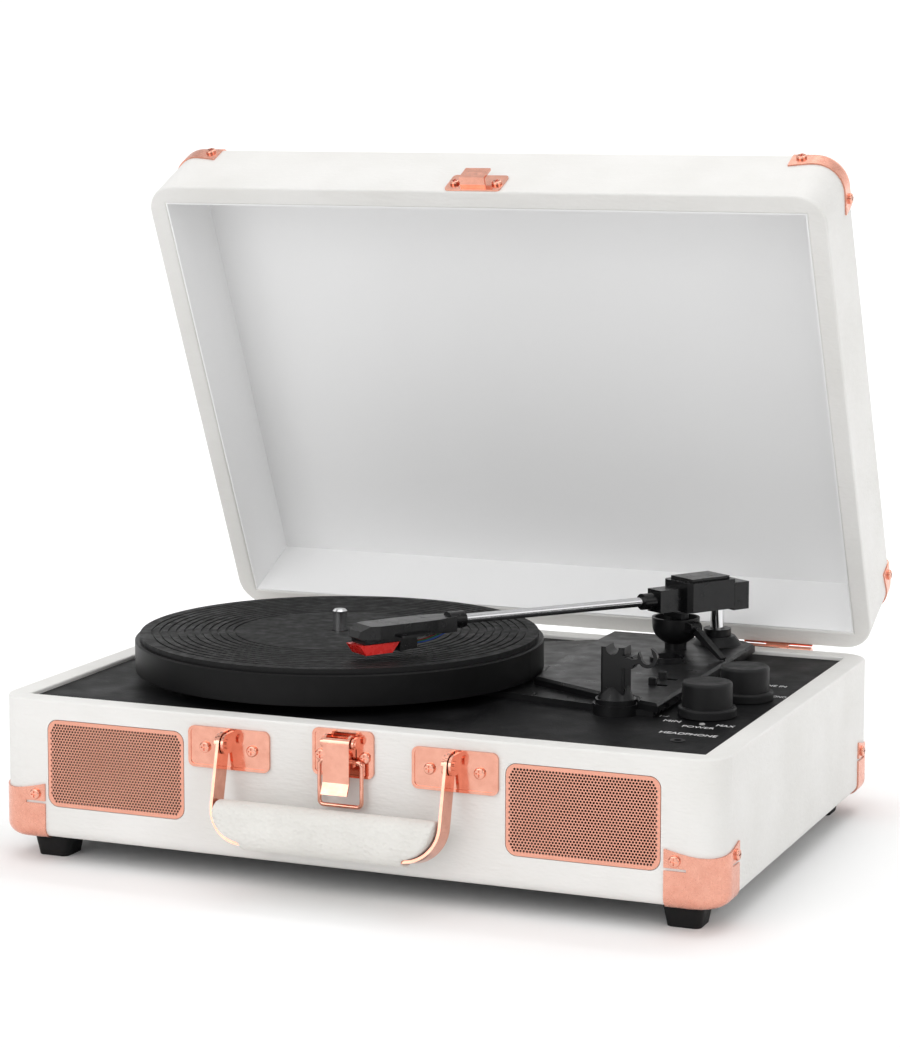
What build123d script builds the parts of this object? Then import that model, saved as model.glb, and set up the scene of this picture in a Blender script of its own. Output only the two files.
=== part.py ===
from build123d import *
import os
from math import atan2, cos, degrees, radians, sin

# Suitcase record player. Millimetres, +Z up, +X to the player's right, +Y to its back.
# The origin lies on the floor, midway between the hanging handle and the open lid.

# ---- driving dimensions -------------------------------------------------------------------

# case
case_w = 355.0          # outside width
case_d = 257.0          # outside depth
case_h = 66.0           # body height, without feet
wall = 11.3             # board wall with its covering
batten = 7.0            # inner battens that carry deck and bottom
corner_r = 15.0         # upright corners
edge_r = 5.0            # rolled outer edges
deck_t = 3.0
deck_drop = 2.0         # deck surface below the rim
bottom_t = 4.0
board_gap = 0.3         # slip of a let-in board all round
foot_h = 12.0
foot_top = 20.0
foot_base = 15.5
foot_inset = 21.0       # foot centre from the outside faces

# lid
lid_h = 45.6
lid_wall = 9.4
lid_top = 2.3
lining_t = 0.7
lid_gap = 0.6           # between the closed lid and the rim
lid_open = 64.75        # degrees between closed and this pose
hinge_back = 2.6        # hinge pin behind the back faces
hinge_drop = 1.5        # hinge pin below the rim
knuckle_r = 2.4
hinge_pin_r = 1.1
hinge_len = 36.0
hinge_inset = 50.0      # hinge middle from the case side
leaf_t = 0.9
leaf_h = 14.0

# corner caps and screws
cap_t = 0.8
cap_reach = 25.5
cap_h = 26.0
lid_cap_h = 15.0
cap_flange = 9.0        # width of the cap under the case and over the lid
cap_dip = 3.4           # the cap's edge is lower at the corner than at its screws
notch_w = 10.4          # slit under each screw of a lower cap
notch_h = 1.3
rim_r = 1.0             # softened rim edges
screw_head_r = 2.6
screw_head_h = 1.5
screw_r = 1.2
screw_len = 7.0
screw_slip = 0.05       # pilot holes are this much larger in radius

# grilles and speakers
grille_w = 71.0
grille_h = 41.0
grille_t = 1.0
grille_side = 27.3      # from the case side to the grille
grille_drop = 9.2       # from the rim to the grille
grille_r = 5.0
grille_gap = 0.3
speaker_r = 20.0
speaker_depth = 19.0
magnet_r = 15.0

# handle
plate_w = 41.0
plate_h = 19.0
plate_t = 0.9
plate_lip = 1.3         # raised border of a pressed plate
plate_x = 55.5          # handle plates left and right of the middle
plate_drop = 14.7       # plate middle below the rim
handle_out = 7.0        # handle pins in front of the case
handle_drop = 11.0      # handle pins below the rim
handle_tilt = 14.0      # the hanging grip rests a little away from the case
handle_pin_r = 1.25
strap_w = 11.0
strap_t = 1.4
strap_bend = 17.0
strap_len = 44.3        # from the pins to the outside of the strap
grip_w = 107.0
grip_h = 21.5
grip_d = 20.5
grip_cover = 1.8        # cover that wraps the strap under the grip
ear_t = 1.2
ear_r = 4.6
ear_gap = 0.35

# latch and catch
latch_x = 1.5
latch_w = 30.0
latch_h = 21.5
latch_top = 0.8         # plate top below the rim
latch_pin_out = 5.2
latch_pin_drop = 6.0
latch_pin_r = 1.0
lever_w = 12.8
lever_t = 1.1
lever_len = 22.5        # from the pin to the lever's lip
lever_out = 9.0         # front of the lever from the case
bail_out = 3.8
bail_drop = 14.5        # bail holes below the rim
bail_len = 20.4
bail_r = 0.95
bail_w = 20.6
catch_w = 29.0
catch_h = 15.5

# turntable
spindle_right = 220.0   # spindle from the right inner wall
spindle_front = 117.2   # spindle from the case front
spindle_r = 3.55
spindle_rise = 30.6     # top of the spindle above the rim
neck_r = 2.9            # groove of the spindle inside the mat's hole
platter_r = 100.0
platter_top = 17.5      # platter surface above the rim
platter_t = 3.0
platter_skirt = 14.5
mat_r = 97.5
mat_t = 2.5
running_gap = 0.05
belt_ring_r = 45.0
belt_ring_t = 2.5
belt_t = 0.7
belt_h = 5.0
pulley_r = 3.4
motor_away = 54.0       # motor shaft from the spindle
motor_r = 18.0
motor_h = 24.0
motor_shaft_r = 1.0
chassis_pad_r = 76.0
chassis_low = 3.0       # lower plate on the deck
chassis_high = 4.0      # raised platform on the lower plate
platter_gap = 2.0       # between the platter and everything round it

# tonearm, with places measured from the right inner wall and the case front
pivot_right = 62.2
pivot_front = 231.0
arm_len = 212.0         # pivot to stylus
arm_angle = 33.0        # from straight ahead, towards the spindle
arm_pitch = 1.35        # the tube rises towards the headshell
arm_rise = 31.0         # tube middle above the rim where it leaves the block
arm_tube_r = 2.35
arm_wall = 0.6
block_front = 27.0      # bearing block ahead of the pivot
block_back = 4.0
block_half = 11.0
block_top = 41.0        # above the rim
block_low = 24.5
tail_back = 12.0        # counterweight behind the pivot
tail_half = 9.0
nose_front = 45.0
nose_half = 5.2
gimbal_rise = 31.0      # tilt axis above the rim
gimbal_pin_r = 0.9
yoke_r = 3.0
mound_r = 12.5
mound_h = 8.0
shell_back = 157.0      # headshell collar from the pivot
shell_front = 219.0
shell_half = 8.0
stylus_rise = 21.6      # stylus tip above the rim
cue_out = 27.0          # cue housing ahead of the pivot
cue_r = 12.0
cue_rise = 21.5         # rim of the cue housing above the case rim
rest_right = 65.5
rest_front = 84.0
rest_rise = 29.8        # top of the arm rest above the rim

# controls, measured from the right inner wall and the case front
knob_r = 11.6
knob_flange_r = 13.5
knob_flange_h = 4.2
knob_h = 16.2
knob_gap = 0.5
volume_right, volume_front = 25.0, 95.0
selector_right, selector_front = 19.5, 136.5
shaft_r = 3.0
light_right, light_front = 21.4, 76.0
light_r = 1.4
jack_right, jack_front = 21.4, 40.0
jack_r = 3.4
jack_bore_r = 1.8
switch_right, switch_front = 57.0, 120.0
switch_pitch = 15.0
switch_travel = 5.0

# ---- places worked out from them ----------------------------------------------------------

rim_z = foot_h + case_h
deck_z = rim_z - deck_drop
lid_reach = lid_h * sin(radians(lid_open)) + hinge_back
grip_reach = handle_out + (strap_len - grip_h / 2) * sin(radians(handle_tilt)) + grip_d / 2
front_y = -(case_d + lid_reach - grip_reach) / 2
back_y = front_y + case_d
mid_y = (front_y + back_y) / 2
right_x = case_w / 2 - wall
inner_w = case_w - 2 * wall
inner_d = case_d - 2 * wall
hinge_y = back_y + hinge_back
hinge_z = rim_z - hinge_drop
lid_z = rim_z + lid_gap
spindle = (right_x - spindle_right, front_y + spindle_front)
pivot = (right_x - pivot_right, front_y + pivot_front)
motor_at = (spindle[0] - motor_away * cos(radians(55)), spindle[1] + motor_away * sin(radians(55)))
platform_z = deck_z + chassis_low + chassis_high
mat_z = rim_z + platter_top + mat_t
handle_y = front_y - handle_out
handle_z = rim_z - handle_drop
latch_pin = (front_y - latch_pin_out, rim_z - latch_pin_drop)
bail_pin = (front_y - bail_out, rim_z - bail_drop)

# the open lid is the closed lid swung back about its hinge pins
lid_place = Pos(0, hinge_y, hinge_z) * Rot(-lid_open, 0, 0) * Pos(0, -hinge_y, -hinge_z)

# along the tonearm: x runs from the pivot to the stylus, y to the arm's right, z up
arm_x = (-sin(radians(arm_angle)), -cos(radians(arm_angle)), 0)
arm_plan = Plane(origin=(*pivot, 0), x_dir=arm_x, z_dir=(0, 0, 1))
arm_side = Plane(origin=(*pivot, 0), x_dir=arm_x, z_dir=(arm_x[1], -arm_x[0], 0))

os.makedirs("parts", exist_ok=True)


def save(part, name):
    """Label a finished piece and write its STEP file."""
    part.label = name
    export_step(part, f"parts/{name}.step")


def rounded_block(base, grow, height, rolled):
    """Outer form of case or lid grown by a skin, with its bottom or top edge rolled."""
    with BuildPart() as block:
        with BuildSketch(base):
            with Locations((0, mid_y)):
                RectangleRounded(case_w + 2 * grow, case_d + 2 * grow, corner_r + grow)
        extrude(amount=height)
        ends = block.faces().filter_by(base).sort_by(Axis(base.origin, base.z_dir))
        fillet((ends[-1] if rolled == "top" else ends[0]).edges(), edge_r + grow)
    return block.part


def screws(seats):
    """Cross-head screws: each seat is a plane whose z axis points out of the surface."""
    with BuildPart() as group:
        for seat in seats:
            with BuildSketch(seat):
                Circle(screw_head_r)
            extrude(amount=screw_head_h)
            with BuildSketch(seat.offset(screw_head_h)):
                Rectangle(screw_head_r * 1.2, 0.6)
                Rectangle(0.6, screw_head_r * 1.2)
            extrude(amount=-screw_head_h / 2, mode=Mode.SUBTRACT)
            with BuildSketch(seat):
                Circle(screw_r)
            extrude(amount=-screw_len)
        domes = group.edges().filter_by(GeomType.CIRCLE).filter_by(lambda e: abs(e.radius - screw_head_r) < 0.01)
        tops = [e for e in domes if any(abs((e.center() - s.origin).dot(s.z_dir) - screw_head_h) < 0.01
                                        for s in seats)]
        fillet(tops, screw_head_h / 2)
    return group.part


def pilot(seats):
    """Round rods where the screws of these seats pass, to be cut from what they hold."""
    with BuildPart() as rods:
        for seat in seats:
            with BuildSketch(seat.offset(1)):
                Circle(screw_r + screw_slip)
            extrude(amount=-(screw_len + 1.5))
    return rods.part


def face_seat(x, y, z, out, turn=lambda plane: plane):
    """Seat plane at a point, facing along the direction out."""
    return turn(Plane(origin=(x, y, z), x_dir=(0, 0, 1), z_dir=out))


def swing_open(plane):
    """Carry a plane of the closed lid to the open lid."""
    return Plane(lid_place * plane.location)


# ---- case ---------------------------------------------------------------------------------

front_out, back_out = (0, -1, 0), (0, 1, 0)
cap_screw_in = cap_reach - 5.0
cap_screw_z = foot_h + cap_h - 5.0
corners = {
    "front_left": (-1, -1),
    "front_right": (1, -1),
    "back_left": (-1, 1),
    "back_right": (1, 1),
}


def cap_seats(sx, sy, z, turn=lambda plane: plane):
    """The two screws of one corner cap: one on the front or back face, one on the side."""
    along_x = (sx * (case_w / 2 - cap_screw_in), mid_y + sy * (case_d / 2 + cap_t), z)
    along_y = (sx * (case_w / 2 + cap_t), mid_y + sy * (case_d / 2 - cap_screw_in), z)
    return [face_seat(*along_x, (0, sy, 0), turn), face_seat(*along_y, (sx, 0, 0), turn)]


hinge_xs = (-(case_w / 2 - hinge_inset), case_w / 2 - hinge_inset)
base_cap_seats = {name: cap_seats(*side, cap_screw_z) for name, side in corners.items()}
handle_seats = [
    face_seat(side * plate_x + dx, front_y - plate_t, rim_z - plate_drop, front_out)
    for side in (-1, 1) for dx in (-plate_w * 0.29, plate_w * 0.29)
]
latch_seats = [
    face_seat(latch_x + dx, front_y - plate_t, rim_z - latch_top - latch_h * 0.56, front_out)
    for dx in (-latch_w * 0.36, latch_w * 0.36)
]
base_leaf_seats = [
    face_seat(x + dx, back_y + leaf_t, rim_z - hinge_drop - leaf_h * 0.65, back_out)
    for x in hinge_xs for dx in (-hinge_len * 0.32, hinge_len * 0.32)
]
case_seats = sum(base_cap_seats.values(), []) + handle_seats + latch_seats + base_leaf_seats

cavity_w, cavity_d = inner_w - 2 * batten, inner_d - 2 * batten
grille_x = case_w / 2 - grille_side - grille_w / 2
grille_z = rim_z - grille_drop - grille_h / 2
grille_bed = grille_t + 0.2
window_w, window_h = grille_w - 8, grille_h - 7
socket_z = foot_h + case_h * 0.45
socket_x = -case_w * 0.18
socket_plate_w, socket_plate_h = 62.0, 20.0
case_form = rounded_block(Plane.XY.offset(foot_h), 0, case_h, "bottom")

with BuildPart() as case_shell:
    add(case_form)
    with BuildSketch(Plane.XY.offset(foot_h)):
        with Locations((0, mid_y)):
            Rectangle(cavity_w, cavity_d)
    extrude(amount=case_h, mode=Mode.SUBTRACT)
    with BuildSketch(Plane.XY.offset(deck_z - deck_t)):
        with Locations((0, mid_y)):
            Rectangle(inner_w, inner_d)
    extrude(amount=deck_t + deck_drop, mode=Mode.SUBTRACT)
    with BuildSketch(Plane.XY.offset(foot_h)):
        with Locations((0, mid_y)):
            Rectangle(inner_w, inner_d)
    extrude(amount=bottom_t, mode=Mode.SUBTRACT)
    with BuildSketch(Plane.XZ.offset(-front_y)):
        with Locations((-grille_x, grille_z), (grille_x, grille_z)):
            RectangleRounded(grille_w + 2 * grille_gap, grille_h + 2 * grille_gap, grille_r + grille_gap)
    extrude(amount=-grille_bed, mode=Mode.SUBTRACT)
    with BuildSketch(Plane.XZ.offset(-front_y)):
        with Locations((-grille_x, grille_z), (grille_x, grille_z)):
            RectangleRounded(window_w, window_h, grille_r)
    extrude(amount=-(wall + batten + 1), mode=Mode.SUBTRACT)
    with BuildSketch(Plane.XZ.offset(-back_y)):
        with Locations((socket_x, socket_z)):
            Rectangle(socket_plate_w - 6, socket_plate_h - 6)
    extrude(amount=wall + batten + 1, mode=Mode.SUBTRACT)
    fillet(case_shell.faces().sort_by(Axis.Z)[-1].edges(), rim_r)
    add(pilot(case_seats), mode=Mode.SUBTRACT)
save(case_shell.part, "case_shell")

# ---- bottom, its screws, and the feet -----------------------------------------------------

foot_spots = [(sx * (case_w / 2 - foot_inset), mid_y + sy * (case_d / 2 - foot_inset))
              for sx, sy in corners.values()]
bottom_spots = [(sx * (inner_w / 2 - batten / 2), mid_y + dy)
                for sx in (-1, 1) for dy in (-case_d * 0.2, case_d * 0.2)]
foot_screw_r = 1.6
foot_screw_head_r = 3.2
foot_screw_in = 4.0     # head recess in the foot

with BuildPart() as bottom_panel:
    with BuildSketch(Plane.XY.offset(foot_h)):
        with Locations((0, mid_y)):
            Rectangle(inner_w - 2 * board_gap, inner_d - 2 * board_gap)
    extrude(amount=bottom_t - board_gap)
    with BuildSketch(Plane.XY.offset(foot_h)):
        with Locations(*foot_spots, *bottom_spots):
            Circle(foot_screw_r + screw_slip)
    extrude(amount=bottom_t, mode=Mode.SUBTRACT)
save(bottom_panel.part, "bottom_panel")

with BuildPart() as feet:
    for x, y in foot_spots:
        with BuildSketch(Plane((x, y, 0))):
            RectangleRounded(foot_base, foot_base, 3)
        with BuildSketch(Plane((x, y, foot_h))):
            RectangleRounded(foot_top, foot_top, 4)
        loft()
    with BuildSketch(Plane.XY):
        with Locations(*foot_spots):
            Circle(foot_screw_head_r + board_gap)
    extrude(amount=foot_screw_in, mode=Mode.SUBTRACT)
    with BuildSketch(Plane.XY):
        with Locations(*foot_spots):
            Circle(foot_screw_r + screw_slip)
    extrude(amount=foot_h, mode=Mode.SUBTRACT)
save(feet.part, "feet")

with BuildPart() as bottom_screws:
    for spots, seat_z in ((foot_spots, foot_screw_in), (bottom_spots, foot_h)):
        with BuildSketch(Plane.XY.offset(seat_z)):
            with Locations(*spots):
                Circle(foot_screw_head_r)
        extrude(amount=-foot_screw_in / 2)
        with BuildSketch(Plane.XY.offset(seat_z)):
            with Locations(*spots):
                Circle(foot_screw_r)
        extrude(amount=foot_h + bottom_t - board_gap - seat_z)
save(bottom_screws.part, "bottom_screws")

# ---- deck panel ---------------------------------------------------------------------------

volume_at = (right_x - volume_right, front_y + volume_front)
selector_at = (right_x - selector_right, front_y + selector_front)
light_at = (right_x - light_right, front_y + light_front)
jack_at = (right_x - jack_right, front_y + jack_front)
mechanism_hole_r = motor_away + motor_r + 1

with BuildPart() as deck_panel:
    with BuildSketch(Plane.XY.offset(deck_z)):
        with Locations((0, mid_y)):
            Rectangle(inner_w - 2 * board_gap, inner_d - 2 * board_gap)
        with Locations(spindle):
            Circle(mechanism_hole_r, mode=Mode.SUBTRACT)
        with Locations(volume_at, selector_at):
            Circle(shaft_r + 0.5, mode=Mode.SUBTRACT)
        with Locations(light_at):
            Circle(light_r + screw_slip, mode=Mode.SUBTRACT)
        with Locations(jack_at):
            Circle(jack_r + screw_slip, mode=Mode.SUBTRACT)
        with Locations(pivot):
            Circle(yoke_r, mode=Mode.SUBTRACT)
    extrude(amount=-deck_t)
save(deck_panel.part, "deck_panel")

# ---- grilles and speakers -----------------------------------------------------------------

speaker_y = front_y + wall + batten
basket_t = 1.2
cone_t = 0.6
for side, x in (("left", -grille_x), ("right", grille_x)):
    with BuildPart() as grille:
        with BuildSketch(Plane.XZ.offset(-front_y)):
            with Locations((x, grille_z)):
                RectangleRounded(grille_w, grille_h, grille_r)
        extrude(amount=-grille_t)
    save(grille.part, f"grille_{side}")

    face = Plane(origin=(x, speaker_y, grille_z), x_dir=(1, 0, 0), z_dir=(0, 1, 0))
    with BuildPart() as speaker:
        with BuildSketch(face):
            RectangleRounded(2 * speaker_r + 6, 2 * speaker_r + 1, 3)
            Circle(speaker_r - 2, mode=Mode.SUBTRACT)
        extrude(amount=basket_t)
        with BuildSketch(face.offset(basket_t)):
            Circle(speaker_r)
            Circle(speaker_r - 2, mode=Mode.SUBTRACT)
        with BuildSketch(face.offset(speaker_depth * 0.5)):
            Circle(magnet_r)
            Circle(magnet_r - 2, mode=Mode.SUBTRACT)
        loft()
        with BuildSketch(face.offset(speaker_depth * 0.5)):
            Circle(magnet_r)
        extrude(amount=speaker_depth * 0.5)
    save(speaker.part, f"speaker_{side}")

with BuildPart() as speaker_cones:
    for x in (-grille_x, grille_x):
        face = Plane(origin=(x, speaker_y, grille_z), x_dir=(1, 0, 0), z_dir=(0, 1, 0))
        with BuildSketch(face):
            Circle(speaker_r - 2 - board_gap)
        with BuildSketch(face.offset(speaker_depth * 0.5 - board_gap)):
            Circle(magnet_r - 2 - 4 * board_gap)
        loft()
        with BuildSketch(face):
            Circle(speaker_r - 2 - board_gap - 3 * cone_t)
        with BuildSketch(face.offset(speaker_depth * 0.5 - board_gap - cone_t)):
            Circle(magnet_r - 2 - 4 * board_gap - 5 * cone_t)
        loft(mode=Mode.SUBTRACT)
save(speaker_cones.part, "speaker_cones")

# ---- corner caps of the case --------------------------------------------------------------


def cap_edge(sx, sy, edge_z, rise, turn):
    """Round bar across a corner that cuts the cap's edge concave."""
    half_span = cap_reach / 2 ** 0.5
    radius = (half_span ** 2 + cap_dip ** 2) / (2 * cap_dip)
    corner = (sx * case_w / 2, mid_y + sy * case_d / 2, edge_z + rise * (radius - cap_dip))
    with BuildPart() as bar:
        with BuildSketch(turn(Plane(origin=corner, x_dir=(0, 0, 1), z_dir=(sx, sy, 0)))):
            Circle(radius)
        extrude(amount=1.6 * cap_reach, both=True)
    return bar.part


case_skin = rounded_block(Plane.XY.offset(foot_h - cap_t), cap_t, case_h, "bottom")
for name, (sx, sy) in corners.items():
    corner = (sx * (case_w / 2 + cap_t), mid_y + sy * (case_d / 2 + cap_t))
    with BuildPart() as cap:
        add(case_skin)
        add(case_form, mode=Mode.SUBTRACT)
        with BuildSketch(Plane.XY.offset(foot_h - cap_t)):
            with Locations(corner):
                Rectangle(2 * (cap_reach + cap_t), 2 * (cap_reach + cap_t))
        extrude(amount=cap_h + cap_t, mode=Mode.INTERSECT)
        with BuildSketch(Plane.XY.offset(foot_h - cap_t)):
            with Locations((corner[0] - sx * (cap_flange + case_w / 2), corner[1] - sy * (cap_flange + case_d / 2))):
                Rectangle(case_w, case_d)
        extrude(amount=2 * cap_t, mode=Mode.SUBTRACT)
        add(cap_edge(sx, sy, foot_h + cap_h, 1, lambda plane: plane), mode=Mode.SUBTRACT)
        for seat in base_cap_seats[name]:
            with BuildSketch(seat):
                with Locations((-screw_head_r - notch_h, 0)):
                    Rectangle(notch_h, notch_w)
            extrude(amount=cap_t, both=True, mode=Mode.SUBTRACT)
        add(pilot(base_cap_seats[name]), mode=Mode.SUBTRACT)
    save(cap.part, f"base_corner_{name}")

# ---- handle: plates, pins, strap and grip -------------------------------------------------

handle_xs = (-plate_x, plate_x)
ear_in = strap_t / 2 + ear_gap


def pressed_plate(x, z, width, height):
    """Flat plate with a raised border and round corners, on the front of the case."""
    front = Plane.XZ.offset(-front_y)
    with BuildPart() as plate:
        with BuildSketch(front):
            with Locations((x, z)):
                RectangleRounded(width, height, 3)
        extrude(amount=plate_lip)
        with BuildSketch(front.offset(plate_t)):
            with Locations((x, z)):
                RectangleRounded(width - 2 * plate_lip, height - 2 * plate_lip, 2)
        extrude(amount=plate_lip, mode=Mode.SUBTRACT)
    return plate.part


def ears(x, pin_y, pin_z, inner, radius, hole):
    """Two upright ears that stand out of a front plate and hold a pin along X."""
    with BuildPart() as pair:
        for start in (x - inner - ear_t, x + inner):
            with BuildSketch(Plane.YZ.offset(start)):
                with Locations((pin_y, pin_z)):
                    Circle(radius)
                with Locations(((pin_y + front_y - plate_t) / 2, pin_z)):
                    Rectangle(front_y - plate_t - pin_y, 2 * radius)
                with Locations((pin_y, pin_z)):
                    Circle(hole, mode=Mode.SUBTRACT)
            extrude(amount=ear_t)
    return pair.part


for side, x in zip(("left", "right"), handle_xs):
    plate = pressed_plate(x, rim_z - plate_drop, plate_w, plate_h)
    with BuildPart() as handle_plate:
        add(plate)
        add(ears(x, handle_y, handle_z, ear_in, ear_r, handle_pin_r + screw_slip))
        add(pilot(handle_seats), mode=Mode.SUBTRACT)
    save(handle_plate.part, f"handle_plate_{side}")


def rivet(x, pin_y, pin_z, half, radius):
    """Headed pin along X through a pair of ears."""
    head = 0.7
    with BuildPart() as pin:
        for start, length, r in ((-half - head, head, radius * 1.7), (-half, 2 * half, radius),
                                 (half, head, radius * 1.7)):
            with BuildSketch(Plane.YZ.offset(x + start)):
                with Locations((pin_y, pin_z)):
                    Circle(r)
            extrude(amount=length)
    return pin.part


lever_half = lever_w / 2
latch_ear_in = lever_half + ear_gap
with BuildPart() as pivot_pins:
    for x in handle_xs:
        add(rivet(x, handle_y, handle_z, ear_in + ear_t, handle_pin_r))
    add(rivet(latch_x, *latch_pin, latch_ear_in + ear_t, latch_pin_r))
save(pivot_pins.part, "pivot_pins")

# the hanging handle's own plane: x across, y up along the strap
tilt = radians(handle_tilt)
hang = Plane(origin=(0, handle_y, handle_z), x_dir=(1, 0, 0), z_dir=(0, -cos(tilt), sin(tilt)))
strap_half = plate_x + strap_t / 2


def strap(grow, half):
    """Strap bent to a U with straight arms and two round lower corners."""
    with BuildPart() as bent:
        for mode, inset in ((Mode.ADD, 0), (Mode.SUBTRACT, strap_t + grow)):
            side, low = strap_half - inset, -strap_len + inset
            with BuildSketch(hang):
                with BuildLine():
                    outline = FilletPolyline(
                        (-side, inset), (-side, low), (side, low), (side, inset), radius=strap_bend - inset)
                    Line(outline @ 1, outline @ 0)
                make_face()
            extrude(amount=half + inset, both=True, mode=mode)
    return bent.part


with BuildPart() as handle_frame:
    add(strap(0, strap_w / 2))
    for x in handle_xs:
        with BuildSketch(Plane.YZ.offset(x - strap_t / 2)):
            with Locations((handle_y, handle_z)):
                Circle(strap_w / 2)
        extrude(amount=strap_t)
    for x in handle_xs:
        with BuildSketch(Plane.YZ.offset(x - strap_t)):
            with Locations((handle_y, handle_z)):
                Circle(handle_pin_r + running_gap)
        extrude(amount=2 * strap_t, mode=Mode.SUBTRACT)
save(handle_frame.part, "handle_frame")

grip_low = -strap_len - grip_cover
grip_section = Plane(origin=hang.origin, x_dir=hang.z_dir, z_dir=(-1, 0, 0))
wrap_w = 2 * (strap_half - strap_bend)
with BuildPart() as handle_grip:
    with BuildSketch(hang):
        with BuildLine():
            inset = grip_w / 2
            body = FilletPolyline(
                (-inset, grip_low + grip_h), (-inset, -strap_len + strap_t), (inset, -strap_len + strap_t),
                (inset, grip_low + grip_h), radius=strap_bend - strap_t)
            Line(body @ 1, body @ 0)
        make_face()
        with Locations((0, grip_low + (grip_cover + strap_t) / 2 + 0.5)):
            Rectangle(wrap_w, grip_cover + strap_t + 1)
    extrude(amount=grip_d / 2, both=True)
    with BuildSketch(grip_section.offset(-grip_w / 2)):
        with Locations((0, grip_low + grip_h / 2)):
            RectangleRounded(grip_d, grip_h, grip_d * 0.42)
    extrude(amount=grip_w, mode=Mode.INTERSECT)
    add(strap(screw_slip, strap_w / 2 + screw_slip), mode=Mode.SUBTRACT)
save(handle_grip.part, "handle_grip")

# ---- latch on the case --------------------------------------------------------------------

plate = pressed_plate(latch_x, rim_z - latch_top - latch_h / 2, latch_w, latch_h)
with BuildPart() as latch_plate:
    add(plate)
    add(ears(latch_x, *latch_pin, latch_ear_in, latch_pin_r * 2.4, latch_pin_r + screw_slip))
    add(pilot(latch_seats), mode=Mode.SUBTRACT)
save(latch_plate.part, "latch_plate")

cheek_r = latch_pin_out - plate_t - 0.6
cheek_low = bail_drop - latch_pin_drop + 2 * bail_r + 0.6
lever_back = latch_pin[0] + cheek_r
lever_face = front_y - lever_out
with BuildPart() as latch_lever:
    with BuildSketch(Plane.YZ.offset(latch_x - lever_half)):
        with Locations(latch_pin):
            Circle(cheek_r)
        with Locations(((lever_back + lever_face) / 2, latch_pin[1] - cheek_low / 2)):
            Rectangle(lever_back - lever_face, cheek_low)
    extrude(amount=lever_w)
    with BuildSketch(Plane.YZ.offset(latch_x - lever_half)):
        with BuildLine():
            Polyline(
                (lever_face, latch_pin[1]), (lever_face, latch_pin[1] - lever_len + 5),
                (lever_face - 2.5, latch_pin[1] - lever_len), (lever_face - 2.5 + lever_t, latch_pin[1] - lever_len),
                (lever_face + lever_t, latch_pin[1] - lever_len + 5), (lever_face + lever_t, latch_pin[1]), close=True)
        make_face()
    extrude(amount=lever_w)
    # hollow between the cheeks, open to the back
    with BuildSketch(Plane.YZ.offset(latch_x - lever_half + lever_t)):
        with Locations(((lever_back + lever_face + lever_t) / 2 + 0.5, latch_pin[1] - cheek_low / 2)):
            Rectangle(lever_back - lever_face - lever_t + 1, cheek_low + 2 * cheek_r + 1)
    extrude(amount=lever_w - 2 * lever_t, mode=Mode.SUBTRACT)
    with BuildSketch(Plane.YZ.offset(latch_x - lever_half - 1)):
        with Locations(latch_pin):
            Circle(latch_pin_r + running_gap)
        with Locations(bail_pin):
            Circle(bail_r + running_gap)
    extrude(amount=lever_w + 2, mode=Mode.SUBTRACT)
save(latch_lever.part, "latch_lever")

bail_half = bail_w / 2
bail_end = lever_half - lever_t - 1.2
with BuildPart() as latch_bail:
    with BuildLine() as bail_line:
        FilletPolyline(
            (latch_x - bail_end, *bail_pin), (latch_x - bail_half, *bail_pin),
            (latch_x - bail_half, bail_pin[0], bail_pin[1] - bail_len),
            (latch_x + bail_half, bail_pin[0], bail_pin[1] - bail_len),
            (latch_x + bail_half, *bail_pin), (latch_x + bail_end, *bail_pin), radius=2.2)
    with BuildSketch(Plane(origin=bail_line.line @ 0, z_dir=bail_line.line % 0)):
        Circle(bail_r)
    sweep()
save(latch_bail.part, "latch_bail")

# ---- hinges -------------------------------------------------------------------------------

knuckle_gap = 0.3
knuckle_len = (hinge_len - 2 * knuckle_gap) / 3


def hinge_leaf(x, own, other, low, high, turn):
    """Leaf on the back faces with its own knuckles, notched for the other leaf's."""
    face = turn(Plane.XZ.offset(-back_y - leaf_t))
    left = x - hinge_len / 2
    with BuildPart() as leaf:
        with BuildSketch(face):
            with Locations((x, (low + high) / 2)):
                Rectangle(hinge_len, high - low)
            for start in own:
                with Locations((left + start + knuckle_len / 2, (hinge_z + low) / 2)):
                    Rectangle(knuckle_len, abs(hinge_z - low))
            for start in other:
                with Locations((left + start + knuckle_len / 2, hinge_z)):
                    Rectangle(knuckle_len + 2 * knuckle_gap, 2 * knuckle_r, mode=Mode.SUBTRACT)
        extrude(amount=leaf_t)
        for start in own:
            with BuildSketch(turn(Plane.YZ.offset(left + start))):
                with Locations((hinge_y, hinge_z)):
                    Circle(knuckle_r)
            extrude(amount=knuckle_len)
        for start in other:
            with BuildSketch(turn(Plane.YZ.offset(left + start - knuckle_gap))):
                with Locations((hinge_y, hinge_z)):
                    Circle(knuckle_r + knuckle_gap)
            extrude(amount=knuckle_len + 2 * knuckle_gap, mode=Mode.SUBTRACT)
        with BuildSketch(turn(Plane.YZ.offset(left - 1))):
            with Locations((hinge_y, hinge_z)):
                Circle(hinge_pin_r + running_gap)
        extrude(amount=hinge_len + 2, mode=Mode.SUBTRACT)
    return leaf.part


outer_starts = (0, 2 * (knuckle_len + knuckle_gap))
middle_starts = (knuckle_len + knuckle_gap,)
with BuildPart() as base_hinge_leaves:
    for x in hinge_xs:
        add(hinge_leaf(x, outer_starts, middle_starts, rim_z - leaf_h, rim_z - 0.3, lambda plane: plane))
    add(pilot(base_leaf_seats), mode=Mode.SUBTRACT)
save(base_hinge_leaves.part, "base_hinge_leaves")

with BuildPart() as hinge_pins:
    for x in hinge_xs:
        with BuildSketch(Plane.YZ.offset(x - hinge_len / 2)):
            with Locations((hinge_y, hinge_z)):
                Circle(hinge_pin_r)
        extrude(amount=hinge_len)
save(hinge_pins.part, "hinge_pins")

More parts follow.
